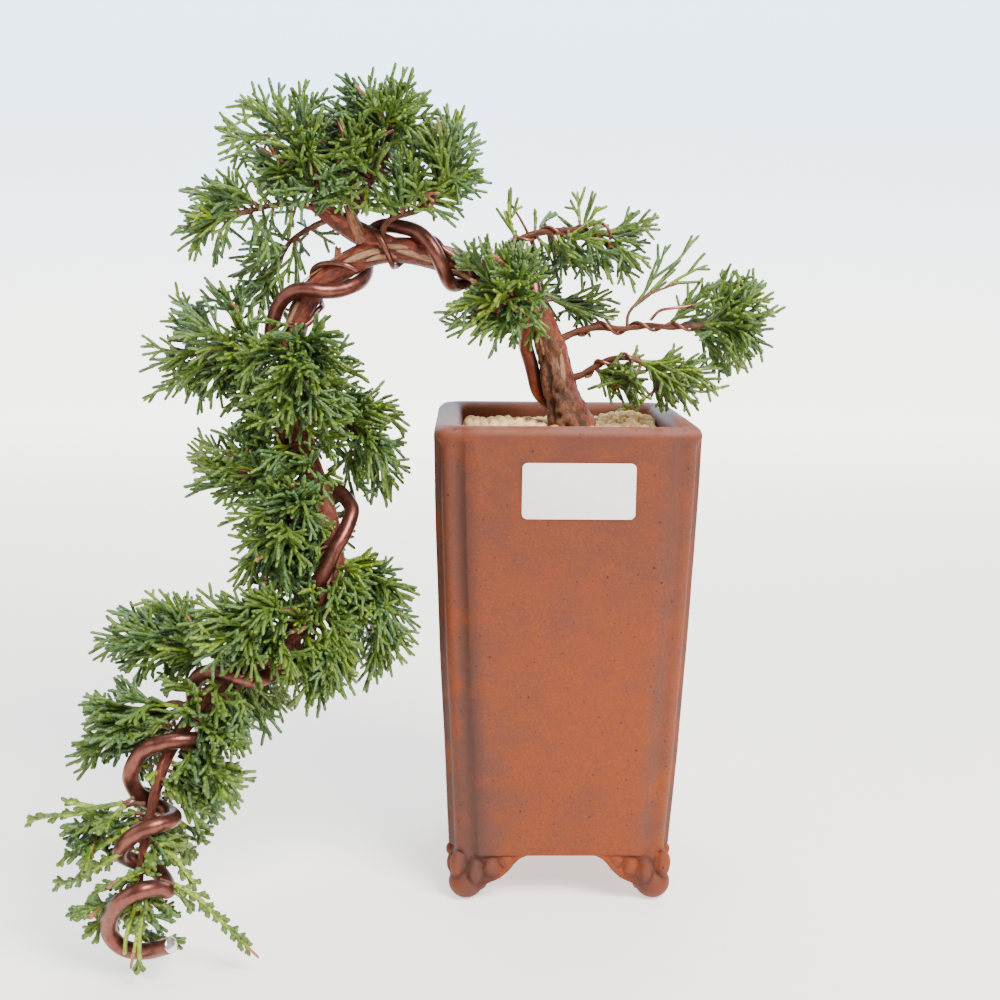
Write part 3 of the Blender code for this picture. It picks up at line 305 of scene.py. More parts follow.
# ---- settings ----
def length(name, description, size):
    """A length given in mm, which Blender keeps and shows in its own unit."""
    return bpy.props.FloatProperty(
        name=name, description=description, default=size * MM, min=0.0, precision=5, unit="LENGTH")


def amount(name, description, default, subtype="NONE"):
    return bpy.props.FloatProperty(
        name=name, description=description, default=default, min=0.0, subtype=subtype)


def number(name, description, default, least=0):
    return bpy.props.IntProperty(name=name, description=description, default=default, min=least)


def colour(name, description, default):
    return bpy.props.FloatVectorProperty(
        name=name, description=description, default=default, subtype="COLOR", min=0.0, max=1.0)


def values_of(settings):
    """The values of a group of settings, with its lengths in mm and its colours as tuples."""
    values = {}
    for name in settings.__annotations__:
        kind = settings.bl_rna.properties[name]
        value = getattr(settings, name)
        if kind.unit == "LENGTH":
            value = round(value / MM, 4)
        elif kind.subtype == "COLOR":
            value = tuple(value)
        values[name] = value
    return SimpleNamespace(**values)


class PotSettings(bpy.types.PropertyGroup):
    rim_half: length("Rim half width", "Half the width across the panels at the rim", 47.0)
    foot_half: length("Foot half width", "The same at the floor", 40.0)
    wall: length("Wall", "Thickness of the wall", 9.6)
    corner: length("Corner radius", "Radius of the corner posts", 3.5)
    clay: colour("Clay", "Main colour of the fired clay", (0.150, 0.035, 0.0135))
    flash: colour("Flashing", "Orange patches from the kiln", (0.200, 0.042, 0.0110))
    # the ash colour also paints shade into the hollows by the corner posts
    ash: colour("Ash", "Purple-grey bloom in the hollows and along the edges", (0.075, 0.036, 0.030))
    # rim colour: pale bloom, and a painted highlight along the rim's top edge
    rim: colour("Rim", "Paler bloom along the rim", (0.400, 0.165, 0.118))


class SoilSettings(bpy.types.PropertyGroup):
    grain: length("Grain", "Middle size of a grain across", 5.2)
    spacing: length("Spacing", "Least distance between grains", 3.1)
    seed: number("Seed", "Seed of the grains", 7)
    cream: colour("Cream grains", "Colour of the pale grains", (0.95, 0.64, 0.30))
    tan: colour("Tan grains", "Colour of the darker grains", (0.72, 0.45, 0.19))


class BarkSettings(bpy.types.PropertyGroup):
    relief: amount("Relief", "Depth of the bark's ridges as a share of the radius", 0.16, "FACTOR")
    live: colour("Live bark", "Cleaned red bark on the arch and the cascade", (0.235, 0.038, 0.015))
    old: colour("Old bark", "Grey-brown bark at the foot", (0.205, 0.078, 0.038))
    peel: colour("Peel", "Dry strips of bark that lift off", (0.46, 0.255, 0.135))


class WireSettings(bpy.types.PropertyGroup):
    heavy: length("Heavy wire", "Radius of the wire on the trunk", 2.7)
    thin: length("Thin wire", "Radius of the second wires on the arch", 1.1)
    fine: length("Fine wire", "Radius of the wires on the boughs", 0.62)
    brown: colour("Anodised brown", "Colour of the anodised aluminium", (0.205, 0.070, 0.053))
    copper: colour("Copper", "Colour of the fine wires", (0.36, 0.130, 0.085))


class FoliageSettings(bpy.types.PropertyGroup):
    fullness: amount("Fullness", "Fine shoots grown for each one in the frame", 8.0)
    cord: length("Cord", "Radius of a leafy cord near its root", 0.74)
    sides: number("Sides", "Sides of a cord", 5, 3)
    seed: number("Seed", "Seed of the finer growth", 3)
    green: colour("Green", "Most of the foliage", (0.098, 0.165, 0.023))
    # this dark green is painted shade on shoots deep inside the masses
    deep: colour("Deep green", "Older sprays", (0.036, 0.074, 0.018))
    blue: colour("Blue green", "Sprays with bloom on them", (0.078, 0.150, 0.044))
    fresh: colour("Fresh green", "This year's growth", (0.250, 0.345, 0.016))
    olive: colour("Olive", "Axes of the sprays", (0.165, 0.245, 0.024))
    dead: colour("Dead tips", "The few browned tips", (0.33, 0.14, 0.055))
    wood: colour("Twigs", "Bark of the twigs", (0.20, 0.085, 0.045))


class StageSettings(bpy.types.PropertyGroup):
    floor: colour("Floor", "Colour of the floor", (0.93, 0.87, 0.80))
    sky: colour("Backdrop", "Colour high on the backdrop", (0.55, 0.76, 0.95))
    glow: amount("Glow", "Light that the backdrop gives by itself", 3.8)
    key: amount("Key light", "Power of the large light", 30.0, "POWER")
    fill: amount("Fill light", "Power of the light on the other side and of the one above", 6.0, "POWER")
    around: amount("Surround", "Strength of the light from all sides", 0.2)


class JuniperSettings(bpy.types.PropertyGroup):
    pot: bpy.props.PointerProperty(type=PotSettings)
    soil: bpy.props.PointerProperty(type=SoilSettings)
    bark: bpy.props.PointerProperty(type=BarkSettings)
    wire: bpy.props.PointerProperty(type=WireSettings)
    foliage: bpy.props.PointerProperty(type=FoliageSettings)
    stage: bpy.props.PointerProperty(type=StageSettings)


# ---- node trees ----
class Graph:
    """Adds nodes to a shader tree or a geometry tree."""

    def __init__(self, tree):
        self.tree = tree

    def node(self, kind, settings=None, inputs=None, out=0):
        """Makes a node, with its settings first, then the values or links of its sockets."""
        made = self.tree.nodes.new(kind)
        for name, value in (settings or {}).items():
            setattr(made, name, value)
        for name, value in (inputs or {}).items():
            self.feed(made.inputs[name], value)
        return Value(self, made.outputs[out]) if made.outputs else None

    def feed(self, socket, value):
        if isinstance(value, Value):
            self.tree.links.new(value.socket, socket)
        elif isinstance(value, bpy.types.NodeSocket):
            self.tree.links.new(value, socket)
        else:
            socket.default_value = value


class Value:
    """A socket; arithmetic on it adds Math nodes."""

    def __init__(self, graph, socket):
        self.graph = graph
        self.socket = socket

    def math(self, operation, first, second):
        return self.graph.node("ShaderNodeMath", {"operation": operation}, {0: first, 1: second})

    def __add__(self, other):
        return self.math("ADD", self, other)

    __radd__ = __add__

    def __sub__(self, other):
        return self.math("SUBTRACT", self, other)

    def __rsub__(self, other):
        return self.math("SUBTRACT", other, self)

    def __mul__(self, other):
        return self.math("MULTIPLY", self, other)

    __rmul__ = __mul__


class Finish(Graph):
    """A material: the values that are the same all over are set once, the others are fed by nodes."""

    def __init__(self, name, fixed):
        self.material = bpy.data.materials.new(name)
        self.material.use_nodes = True
        super().__init__(self.material.node_tree)
        self.shader = self.tree.nodes["Principled BSDF"]
        for socket, value in fixed.items():
            self.put(socket, value)

    def put(self, socket, value):
        self.feed(self.shader.inputs[socket], value)

    def object_place(self):
        """Object coordinates about the pot's axis, in metres."""
        place = self.node("ShaderNodeTexCoord", out="Object")
        return self.node("ShaderNodeMapping", {"vector_type": "POINT"}, {0: place, 1: tuple(-POT_AXIS)})

    def attribute(self, name, out="Fac"):
        return self.node("ShaderNodeAttribute", {"attribute_name": name}, out=out)

    def part(self, vector, axis):
        return self.node("ShaderNodeSeparateXYZ", None, {0: vector}, axis)

    def noise(self, place, size, detail=3.0, rough=0.55, warp=0.0):
        """Noise whose features are about this size in the units of the place."""
        inputs = {"Vector": place, "Scale": 1.0 / size, "Detail": detail, "Roughness": rough,
                  "Distortion": warp}
        return self.node("ShaderNodeTexNoise", None, inputs)

    def cells(self, place, size):
        """How far a point is from the middle of its cell; the cells are about this size."""
        return self.node("ShaderNodeTexVoronoi", None, {"Vector": place, "Scale": 1.0 / size}, "Distance")

    def rise(self, value, low, high):
        """0 below low, 1 above high, and smooth between."""
        settings = {"interpolation_type": "SMOOTHSTEP"}
        return self.node("ShaderNodeMapRange", settings, {0: value, 1: low, 2: high})

    def fall(self, value, low, high):
        return 1.0 - self.rise(value, low, high)

    def mix(self, share, first, second):
        """The first colour, with this share of the second."""
        first, second = ((*c, 1.0) if isinstance(c, tuple) else c for c in (first, second))
        return self.node("ShaderNodeMix", {"data_type": "RGBA"}, {0: share, 6: first, 7: second}, out=2)

    def bump(self, height, depth):
        """A normal from a height between 0 and 1 that stands for this depth in mm."""
        inputs = {"Height": height, "Distance": depth * MM, "Strength": 1.0}
        return self.node("ShaderNodeBump", None, inputs)


# ---- shapes ----
FRONT = np.array([0.0, -1.0, 0.0])
UP = np.array([0.0, 0.0, 1.0])


def placed(points):
    """Millimetres about the pot's axis, as metres in the frame."""
    return np.asarray(points, float) * MM + POT_AXIS


def new_mesh(name, points, edges, faces):
    mesh = bpy.data.meshes.new(name)
    mesh.from_pydata(points, edges, faces)
    return mesh


def new_object(name, data):
    made = bpy.data.objects.new(name, data)
    bpy.context.scene.collection.objects.link(made)
    return made


def mesh_object(name, points, faces, finishes=()):
    """A smooth object from points in mm about the pot's axis."""
    mesh = new_mesh(name, placed(points).tolist(), [], faces)
    for finish in finishes:
        mesh.materials.append(finish)
    mesh.shade_smooth()
    return new_object(name, mesh)


def ring_faces(count, sides, start=0):
    """Faces between equal rings of points, with both ends closed."""
    faces = [tuple(start + k for k in reversed(range(sides)))]
    last = start + (count - 1) * sides
    for low in range(start, last, sides):
        for i in range(sides):
            j = (i + 1) % sides
            faces.append((low + i, low + j, low + sides + j, low + sides + i))
    faces.append(tuple(last + k for k in range(sides)))
    return faces


def grid_faces(count):
    """Squares between the points of a grid with this many points a side, row by row."""
    corners = [j * count + i for j in range(count - 1) for i in range(count - 1)]
    return [(a, a + 1, a + count + 1, a + count) for a in corners]


def point_attribute(piece, name, values, kind="FLOAT"):
    """Stores a number, or a vector, for each point of a mesh."""
    made = piece.data.attributes.new(name, kind, "POINT")
    flat = np.asarray(values, np.float32).ravel()
    made.data.foreach_set("value" if kind == "FLOAT" else "vector", flat)


def smooth_route(points, step=1.5):
    """Catmull-Rom curve through the points, which may carry a radius, at even steps along it."""
    p = np.array(points, float)
    p = np.vstack([2 * p[0] - p[1], p, 2 * p[-1] - p[-2]])
    dense = []
    for a, b, c, d in zip(p[:-3], p[1:-2], p[2:-1], p[3:]):
        for t in np.linspace(0, 1, 24, endpoint=False):
            dense.append(0.5 * (2 * b + (c - a) * t + (2 * a - 5 * b + 4 * c - d) * t**2
                                + (3 * b - a - 3 * c + d) * t**3))
    dense = np.array(dense + [p[-2]])
    return evenly(dense, step)


def evenly(route, step):
    """The same route with points at even steps."""
    along = distances(route)
    count = max(2, int(round(along[-1] / step)) + 1)
    return at_distances(np.linspace(0, along[-1], count), along, route)


def at_distances(where, along, table):
    """The rows of a table that belong at these places, where its own rows lie at the distances along."""
    return np.column_stack([np.interp(where, along, column) for column in table.T])


def distances(route):
    """How far along a route each of its points is."""
    steps = np.linalg.norm(np.diff(route[:, :3], axis=0), axis=1)
    return np.concatenate([[0], np.cumsum(steps)])


def unit(vector):
    return vector / np.linalg.norm(vector)


def tangents(points):
    t = np.gradient(points[:, :3], axis=0)
    return t / np.linalg.norm(t, axis=1)[:, None]


def front_frames(points):
    """At each point the direction nearest to a viewer at -Y, and the one on the arch's outer side."""
    t = tangents(points)
    front = FRONT - t * (t @ FRONT)[:, None]
    front /= np.linalg.norm(front, axis=1)[:, None]
    return front, np.cross(t, front)


def carried_frames(points):
    """Two directions square to a route at each point, carried along it without twisting."""
    t = tangents(points)
    side = unit(np.cross(t[0], (0.2, 0.9, 0.3)))
    sides, others = [], []
    for axis in t:
        side = unit(side - axis * (side @ axis))
        sides.append(side)
        others.append(np.cross(axis, side))
    return np.array(sides), np.array(others)


def swept(points, radii, sides, frames, relief=None):
    """Rings of points round a route; relief gives a share of the radius at each ring and side."""
    first, second = frames
    angle = 2 * np.pi * np.arange(sides) / sides
    reach = np.asarray(radii, float)[:, None] * np.ones(sides)
    if relief is not None:
        reach = reach * relief
    way = np.cos(angle)[None, :, None] * first[:, None] + np.sin(angle)[None, :, None] * second[:, None]
    return points[:, None, :3] + reach[:, :, None] * way


def turned(vector, axis, degrees):
    """The vector turned about an axis, by Rodrigues' formula."""
    a = math.radians(degrees)
    return (vector * math.cos(a) + np.cross(axis, vector) * math.sin(a)
            + axis * (axis @ vector) * (1 - math.cos(a)))


def bend(start, pull, end, count):
    """A quadratic curve from start to end that sets off towards pull."""
    t = np.linspace(0, 1, count)[:, None]
    return (1 - t) ** 2 * start + 2 * t * (1 - t) * pull + t**2 * end


def as_plain_mesh(piece):
    """Replaces an object's modifiers by the mesh that they make."""
    graph = bpy.context.evaluated_depsgraph_get()
    made = bpy.data.meshes.new_from_object(piece.evaluated_get(graph))
    piece.modifiers.clear()
    piece.data = made
    return piece


def finish_piece(piece, slot, *nodes):
    """Hands a finished piece to the frame in place of the nodes that it stands for."""
    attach(piece, "root")
    if nodes:
        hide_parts(*nodes)


# ---- routes of the limbs and wires ----
def nearest_index(route, point):
    return int(np.argmin(np.linalg.norm(route[:, :3] - np.array(point[:3]), axis=1)))


def limb_routes():
    """The routes of the trunk's limbs and of the boughs, with their radii, as in the frame."""
    whole = smooth_route(TRUNK)
    routes = {"trunk": whole}
    for name, first, last in TRUNK_LIMBS:
        a, b = nearest_index(whole, TRUNK[first]), nearest_index(whole, TRUNK[last])
        routes[name] = whole[a:b + 1]
    for name, (parent, points, root, tip) in BOUGHS.items():
        route = smooth_route(points)
        route = np.column_stack([route, np.linspace(root, tip, len(route))])
        base = routes[parent]
        apart = np.linalg.norm(route[:, None, :3] - base[None, :, :3], axis=2) - base[None, :, 3]
        routes[name] = route[int(np.argmax(apart.min(axis=1) > GAP)):]
    return routes


def coil_route(route, turns, step=0.9):
    """A wire that winds on a route, from its distances, turns and lifts; turn 0 is in front."""
    along = distances(route)
    far, angle, lift = np.array(turns, float).T
    dense = np.linspace(far[0], far[-1], 60 * len(far))
    centre, front, outer = (at_distances(dense, along, table) for table in (route, *front_frames(route)))
    a = 2 * np.pi * np.interp(dense, far, angle)
    reach = centre[:, 3] + np.interp(dense, far, lift)
    made = centre[:, :3] + reach[:, None] * (np.cos(a)[:, None] * front + np.sin(a)[:, None] * outer)
    return rounded(evenly(made, step), 3)


def rounded(route, times):
    """Takes the small corners out of a route."""
    route = route.copy()
    for _ in range(times):
        route[1:-1] = 0.5 * route[1:-1] + 0.25 * (route[:-2] + route[2:])
    return route


def wire_routes(routes, sizes):
    """Every wire's route with its radius: the heavy one, the thin ones and those on the boughs."""
    trunk = routes["trunk"]
    heavy = np.vstack([coil_route(trunk, WIRE_TURNS), smooth_route(WIRE_HOOK, 0.9)])
    made = [(rounded(heavy, 4), sizes.heavy)]
    made += [(coil_route(trunk, turns), sizes.thin) for turns in THIN_WIRE_TURNS]
    lift = sizes.fine + 0.1
    for name, turns, start, end in BOUGH_WIRES:
        far = distances(routes[name])[-1]
        ends = ((start * far, 0.1, lift), (end * far, 0.1 + turns, lift))
        made.append((coil_route(routes[name], ends, 0.5), sizes.fine))
    made += [(smooth_route(points, 0.6), sizes.fine) for points in LOOSE_WIRES]
    return made


# ---- pot ----
def pot_half(sizes, z):
    """Half the width across the panels at a height."""
    taper = (1 - min(z, POT_HEIGHT) / POT_HEIGHT) ** POT_CURVE
    return sizes.rim_half - (sizes.rim_half - sizes.foot_half) * taper


def pot_outline(half, step, corner, z):
    """The pot's outline: flat panels, soft hollows, and round corner posts that stand back."""
    post = half - step
    panel = half - POST_WIDTH - POST_STEP
    quarter = [(half, y) for y in np.linspace(-panel, panel, 15)]
    soft = [(half - step * (1 - (1 - t) ** 2.6) * min(1.0, 0.55 + 4.5 * t), panel + POST_SOFT * t)
            for t in np.linspace(0, 1, 11)[1:]]
    middle = post - corner
    arc = [(middle + corner * math.cos(a), middle + corner * math.sin(a))
           for a in np.linspace(0, math.pi / 2, 9)]
    quarter += soft + arc + [(y, x) for x, y in reversed(soft)]
    ring = []
    for c, s in ((1, 0), (0, 1), (-1, 0), (0, -1)):
        ring += [(c * x - s * y, s * x + c * y, z) for x, y in quarter]
    return ring


def pot_profile(sizes):
    """Heights with the inset, the post's step and the corner's radius there: outside, rim, inside."""
    levels = [(APRON, 0.9, 1.0, 3.0), (APRON + 0.25, 0.35, 1.0, 3.2), (APRON + 0.9, 0.0, 1.0, 3.4)]
    levels += [(z, 0.0, 1.0, 1.0 * sizes.corner) for z in np.arange(APRON + 3.0, POT_HEIGHT - 9.0, 5.0)]
    top = POT_HEIGHT
    levels += [(top - 8.0, 0.0, 1.0, 3.5), (top - 6.4, 0.0, 0.86, 3.8), (top - 5.0, -0.05, 0.6, 4.4),
               (top - 3.8, -0.05, 0.36, 5.0), (top - 2.6, 0.1, 0.24, 5.6), (top - 1.6, 0.55, 0.2, 6.0),
               (top - 0.8, 1.35, 0.18, 6.2), (top - 0.25, 2.4, 0.16, 6.2), (top, 3.6, 0.14, 6.0),
               (top - 0.05, 5.6, 0.12, 5.4), (top - 0.4, 7.0, 0.1, 5.0), (top - 1.2, 8.2, 0.1, 4.6),
               (top - 2.6, 9.1, 0.1, 4.3), (top - 5.0, 9.6, 0.1, 4.2)]
    levels += [(z, sizes.wall, 0.1, 4.2) for z in (150.0, 110.0, 70.0, POT_FLOOR)]
    return levels


def pot_body(sizes):
    """Rings from the apron up over the rim and down inside to the floor."""
    rings = []
    for z, inset, share, corner in pot_profile(sizes):
        half = pot_half(sizes, z) - inset
        ring = np.array(pot_outline(half, POST_STEP * share, corner, z))
        wobble = [0.22 * noise.noise(Vector(p) / 38.0) + 0.07 * noise.noise(Vector(p) / 9.0) for p in ring]
        way = ring[:, :2] / np.linalg.norm(ring[:, :2], axis=1)[:, None]
        ring[:, :2] += np.array(wobble)[:, None] * way
        rings.append(ring)
    return np.vstack(rings), ring_faces(len(rings), len(rings[0]))


# the knuckles of one clawed foot where x and y are positive: middle and half sizes, mm; those with x
# over y are mirrored onto the other face
FOOT_LOBES = (
    ((34.6, 34.6, 5.8), (6.6, 6.6, 6.1)), ((31.5, 31.5, 15.0), (6.2, 6.2, 9.0)),
    ((38.0, 38.0, 14.0), (2.7, 2.7, 5.2)), ((39.4, 31.4, 11.6), (2.6, 2.4, 4.6)),
    ((40.2, 25.6, 14.4), (2.2, 2.6, 2.7)), ((40.0, 20.4, 16.4), (1.5, 2.4, 1.7)),
    ((37.4, 29.4, 6.4), (2.6, 2.6, 2.6)),
)
# the outline of the wing between a foot and the apron: distance from the pot's middle, and height
FOOT_WING = (
    (11.0, 24.0), (11.4, 18.6), (13.2, 17.9), (15.2, 16.9), (17.0, 15.0), (18.9, 12.4), (22.0, 9.6),
    (26.0, 7.4), (29.0, 6.0), (33.0, 7.0), (35.0, 12.0), (36.0, 24.0),
)
WING_THICK = 10.0


def foot_lobe(middle, half):
    bpy.ops.mesh.primitive_uv_sphere_add(segments=24, ring_count=16, radius=1.0)
    lobe = bpy.context.object
    lobe.data.transform(Matrix.Translation(middle) @ Matrix.Diagonal((*half, 1.0)))
    return lobe


def foot_wings(sizes):
    """The two wings of one foot, one along each face; their tops lean into the panels."""
    wing = []
    for depth in (0.0, WING_THICK):
        for along, z in FOOT_WING:
            sunk = 1.1 * max(0.0, z - 17.5) / 6.5 + 0.16 * max(0.0, along - 24.0)
            wing.append((pot_half(sizes, APRON) + 0.15 - sunk - depth, along, z))
    mirrored = [(y, x, z) for x, y, z in wing]
    faces = ring_faces(2, len(FOOT_WING))
    return [new_object("wing", new_mesh("wing", points, [], faces)) for points in (wing, mirrored)]


def all_lobes():
    """Every lobe of a foot, with the mirrored ones."""
    lobes = []
    for middle, half in FOOT_LOBES:
        lobes.append((middle, half))
        if middle[0] > middle[1]:
            lobes.append(((middle[1], middle[0], middle[2]), (half[1], half[0], half[2])))
    return lobes


def foot_shape(sizes):
    """One clawed foot: wings, knuckles and a toe run together, cut flat on the floor, in mm."""
    parts = foot_wings(sizes) + [foot_lobe(middle, half) for middle, half in all_lobes()]
    foot = parts[-1]
    with bpy.context.temp_override(active_object=foot, selected_editable_objects=parts):
        bpy.ops.object.join()
    melt = foot.modifiers.new("melt", "REMESH")
    melt.mode = "VOXEL"
    melt.voxel_size = 0.6
    soften = foot.modifiers.new("soften", "SMOOTH")
    soften.factor = 0.5
    soften.iterations = 3
    as_plain_mesh(foot)
    work = bmesh.new()
    work.from_mesh(foot.data)
    bmesh.ops.recalc_face_normals(work, faces=work.faces)
    for vertex in work.verts:
        vertex.co.z = max(vertex.co.z, 0.0)
    shape = [tuple(v.co) for v in work.verts], [[v.index for v in f.verts] for f in work.faces]
    work.free()
    bpy.data.objects.remove(foot)
    return shape


class JUNIPER_OT_pot(bpy.types.Operator):
    """Make the stoneware pot with its clawed feet"""
    bl_idname = "juniper.pot"
    bl_label = "Pot"

    def execute(self, context):
        sizes = values_of(context.scene.juniper.pot)
        points, faces = pot_body(sizes)
        foot_points, foot_faces = foot_shape(sizes)
        for corner in range(4):
            spin = np.array(Matrix.Rotation(corner * math.pi / 2, 3, "Z"))
            faces += [tuple(len(points) + k for k in face) for face in foot_faces]
            points = np.vstack([points, np.array(foot_points) @ spin.T])
        pot = mesh_object("stoneware_pot", points, faces, [stoneware_finish(sizes).material])
        # ash bloom, with painted shade in the hollows by the posts
        point_attribute(pot, "bloom", pot_ash_and_shade(sizes, points))
        # painted shade where the lobes of a foot meet
        point_attribute(pot, "crease", foot_crease_shade(points))
        finish_piece(pot, "stoneware", "pot")
        return {"FINISHED"}


def pot_ash_and_shade(sizes, points):
    """How much ash bloom and painted shade lies on each point: ash with painted shade in the hollows by the
    posts, more of it on the left side and low down, and ash low on one corner.
    """
    x, y, z = np.asarray(points).T
    half = np.array([pot_half(sizes, value) for value in z])
    far, near = np.maximum(abs(x), abs(y)), np.minimum(abs(x), abs(y))
    panel = half - POST_WIDTH - POST_STEP
    hollow = np.clip((near - panel + 0.4) / 0.6, 0, 1) * np.exp(-((near - panel) / 5.2) ** 2)
    hollow = hollow * (far > half - 6)
    # more painted shade on the left side, away from the key light, and low down
    strength = 0.55 + 0.45 * (x < 0) + 0.25 * (z < 90)
    low_corner = np.exp(-((x + 30) / 12) ** 2) * (y < -30) * np.clip((110 - z) / 70, 0, 1)
    return np.clip(hollow * strength + 0.85 * low_corner, 0, 1)


def foot_crease_shade(points):
    """Painted shade where two lobes of a foot meet: 1 there, 0 away from there."""
    place = np.column_stack([np.abs(points[:, :2]), points[:, 2]])
    apart = [np.linalg.norm((place - middle) / half, axis=1) for middle, half in all_lobes()]
    nearest, second = np.sort(apart, axis=0)[:2]
    crease = np.exp(-(((second - nearest) / 0.26) ** 2)) * np.clip((2.0 - nearest) / 0.3, 0, 1)
    return crease * np.clip((APRON + 1 - points[:, 2]) / 3, 0, 1)


# colours of the clay that the settings don't hold, linear
CLAY_SMOKE = (0.082, 0.032, 0.026)
CLAY_SPARK = (0.29, 0.078, 0.018)
CLAY_TOP = (0.085, 0.027, 0.017)
CLAY_SPECK = (0.022, 0.015, 0.017)
CLAY_CREASE_SHADE = (0.040, 0.013, 0.009)
CLAY_FOOT = (0.120, 0.034, 0.021)


def stoneware_finish(sizes):
    """Fired clay: mottled, ash-grey with painted shade in the hollows, pale on the rim with a painted
    highlight on its top edge, with pinholes and specks; painted shade where the foot's lobes meet, and darker
    towards the floor.
    """
    clay = Finish("fired_stoneware", {"Specular IOR Level": 0.22})
    place = clay.object_place()
    up = clay.part(place, "Z")
    broad = clay.noise(place, 45 * MM, 3.0)
    cloud = clay.noise(place, 13 * MM, 4.0, 0.6)
    low = clay.fall(up + broad * 50 * MM - 25 * MM, 70 * MM, 150 * MM)
    warm = clay.mix(low, sizes.clay, sizes.flash)
    warm = clay.mix(clay.rise(cloud, 0.44, 0.70) * 0.36, warm, CLAY_SMOKE)
    grain = clay.noise(place, 0.8 * MM, 3.0, 0.7)
    warm = clay.mix(clay.rise(grain, 0.50, 0.62) * 0.52, warm, sizes.ash)
    warm = clay.mix(clay.fall(grain, 0.36, 0.50) * 0.18, warm, CLAY_SPARK)
    # ash bloom, with painted shade in the hollows by the posts
    bloom = clay.attribute("bloom") * clay.rise(cloud, 0.30, 0.56)
    warm = clay.mix(bloom * 0.80, warm, sizes.ash)
    # pale bloom on the rim, with a painted highlight along its top edge
    rim = clay.rise(up, (POT_HEIGHT - 3.5) * MM, (POT_HEIGHT - 0.8) * MM)
    warm = clay.mix(rim * clay.rise(cloud, 0.25, 0.65) * 0.6, warm, sizes.rim)
    top = clay.rise(up, 118 * MM, 176 * MM)
    warm = clay.mix(top * clay.rise(cloud, 0.36, 0.60) * 0.45, warm, CLAY_TOP)
    size = clay.noise(place, 9 * MM, 1.0)
    pinhole = clay.fall(clay.cells(place, 6.0 * MM), 0.045, 0.085) * clay.rise(size, 0.44, 0.50)
    speck = clay.fall(clay.cells(place, 3.4 * MM), 0.05, 0.15) * clay.fall(size, 0.50, 0.60)
    warm = clay.mix(pinhole * 0.9 + speck * 0.75, warm, CLAY_SPECK)
    # painted shade where the lobes of a foot meet
    warm = clay.mix(clay.attribute("crease") * 0.85, warm, CLAY_CREASE_SHADE)
    # the feet darker towards the floor
    near_floor = clay.fall(up, 2 * MM, 16 * MM)
    warm = clay.mix(near_floor * 0.45, warm, CLAY_FOOT)
    clay.put("Base Color", warm)
    clay.put("Roughness", 0.66 - rim * 0.10 + (grain - 0.5) * 0.25)
    height = clay.noise(place, 0.9 * MM, 3.0) * 0.5 + cloud * 0.5 - pinhole * 0.9
    clay.put("Normal", clay.bump(height, 0.22))
    return clay


# ---- label ----
class JUNIPER_OT_label(bpy.types.Operator):
    """Make the blank plant label stuck on the front of the pot"""
    bl_idname = "juniper.label"
    bl_label = "Label"

    def execute(self, context):
        sizes = values_of(context.scene.juniper.pot)
        outline = label_outline()
        rings = []
        for lift, shrink in ((-0.4, 1.0), (0.16, 1.0), (0.2, 0.995)):
            ring = [(LABEL_MIDDLE[0] + x * shrink, LABEL_MIDDLE[1] + z * shrink) for x, z in outline]
            rings.append([(x, -pot_half(sizes, z) - 0.25 - lift, z) for x, z in ring])
        faces = ring_faces(len(rings), len(outline))
        label = mesh_object("blank_label", np.vstack(rings), faces, [label_finish().material])
        finish_piece(label, "stoneware")
        return {"FINISHED"}


def label_outline():
    """A rectangle with round corners about its own middle."""
    across, up = LABEL_SIZE[0] / 2 - LABEL_CORNER, LABEL_SIZE[1] / 2 - LABEL_CORNER
    outline = []
    for k, (sx, sz) in enumerate(((1, 1), (-1, 1), (-1, -1), (1, -1))):
        for a in np.linspace(0, math.pi / 2, 7) + k * math.pi / 2:
            outline.append((sx * across + LABEL_CORNER * math.cos(a), sz * up + LABEL_CORNER * math.sin(a)))
    return outline


def label_finish():
    """Plain white paper."""
    paper = Finish("label_paper", {"Specular IOR Level": 0.5})
    place = paper.object_place()
    fibres = paper.noise(place, 3 * MM, 3.0)
    paper.put("Base Color", paper.mix(fibres, (0.80, 0.77, 0.76), (0.88, 0.86, 0.86)))
    paper.put("Roughness", 0.42 + fibres * 0.1)
    return paper


# ---- soil ----
BED_POINTS = 26  # along each side of the bed's top
STREWN_POINTS = 22  # along each side of the surface that carries the grains
GRAIN_KINDS = 5
GRAIN_DENSITY = 900000.0  # more for each square metre than the spacing lets stand
GRAIN_SPIN = (1.2, 1.2, 6.28)  # the most that a grain is turned about each axis, radians
GRAIN_SHARES = (0.72, 1.18)  # a grain's size as a share of the middle one
SHADE_SEED = 11
PUMICE_PIT = (0.34, 0.20, 0.09)


def soil_height(x, y):
    """The bed under the top grains, heaped to the right of the trunk and round its foot."""
    heap = 4.8 * np.exp(-(((x - 26) / 12) ** 2 + ((y - 16) / 15) ** 2))
    left = 1.9 * np.exp(-(((x + 16) / 13) ** 2 + ((y - 8) / 15) ** 2))
    foot = 0.8 * np.exp(-(((x - 4) / 12) ** 2 + ((y - 4) / 12) ** 2))
    return SOIL_LEVEL - 1.6 + heap + left + foot


def soil_bed(sizes):
    """A closed bed that fills the pot, with a wavy top."""
    half = pot_half(sizes, SOIL_LEVEL) - sizes.wall - 0.2
    low = pot_half(sizes, POT_FLOOR) - sizes.wall - 0.6
    count = BED_POINTS
    side = np.linspace(-1, 1, count)
    points = [(half * x, half * y, soil_height(half * x, half * y)) for y in side for x in side]
    faces = grid_faces(count)
    edge = (list(range(count)) + [j * count + count - 1 for j in range(1, count)]
            + [(count - 1) * count + i for i in range(count - 2, -1, -1)]
            + [j * count for j in range(count - 2, 0, -1)])
    base = len(points)
    points += [(points[k][0] * low / half, points[k][1] * low / half, POT_FLOOR + 0.6) for k in edge]
    ring = list(range(base, base + len(edge)))
    for k, a in enumerate(edge):
        n = (k + 1) % len(edge)
        faces.append((a, ring[k], ring[n], edge[n]))
    faces.append(tuple(reversed(ring)))
    return points, faces


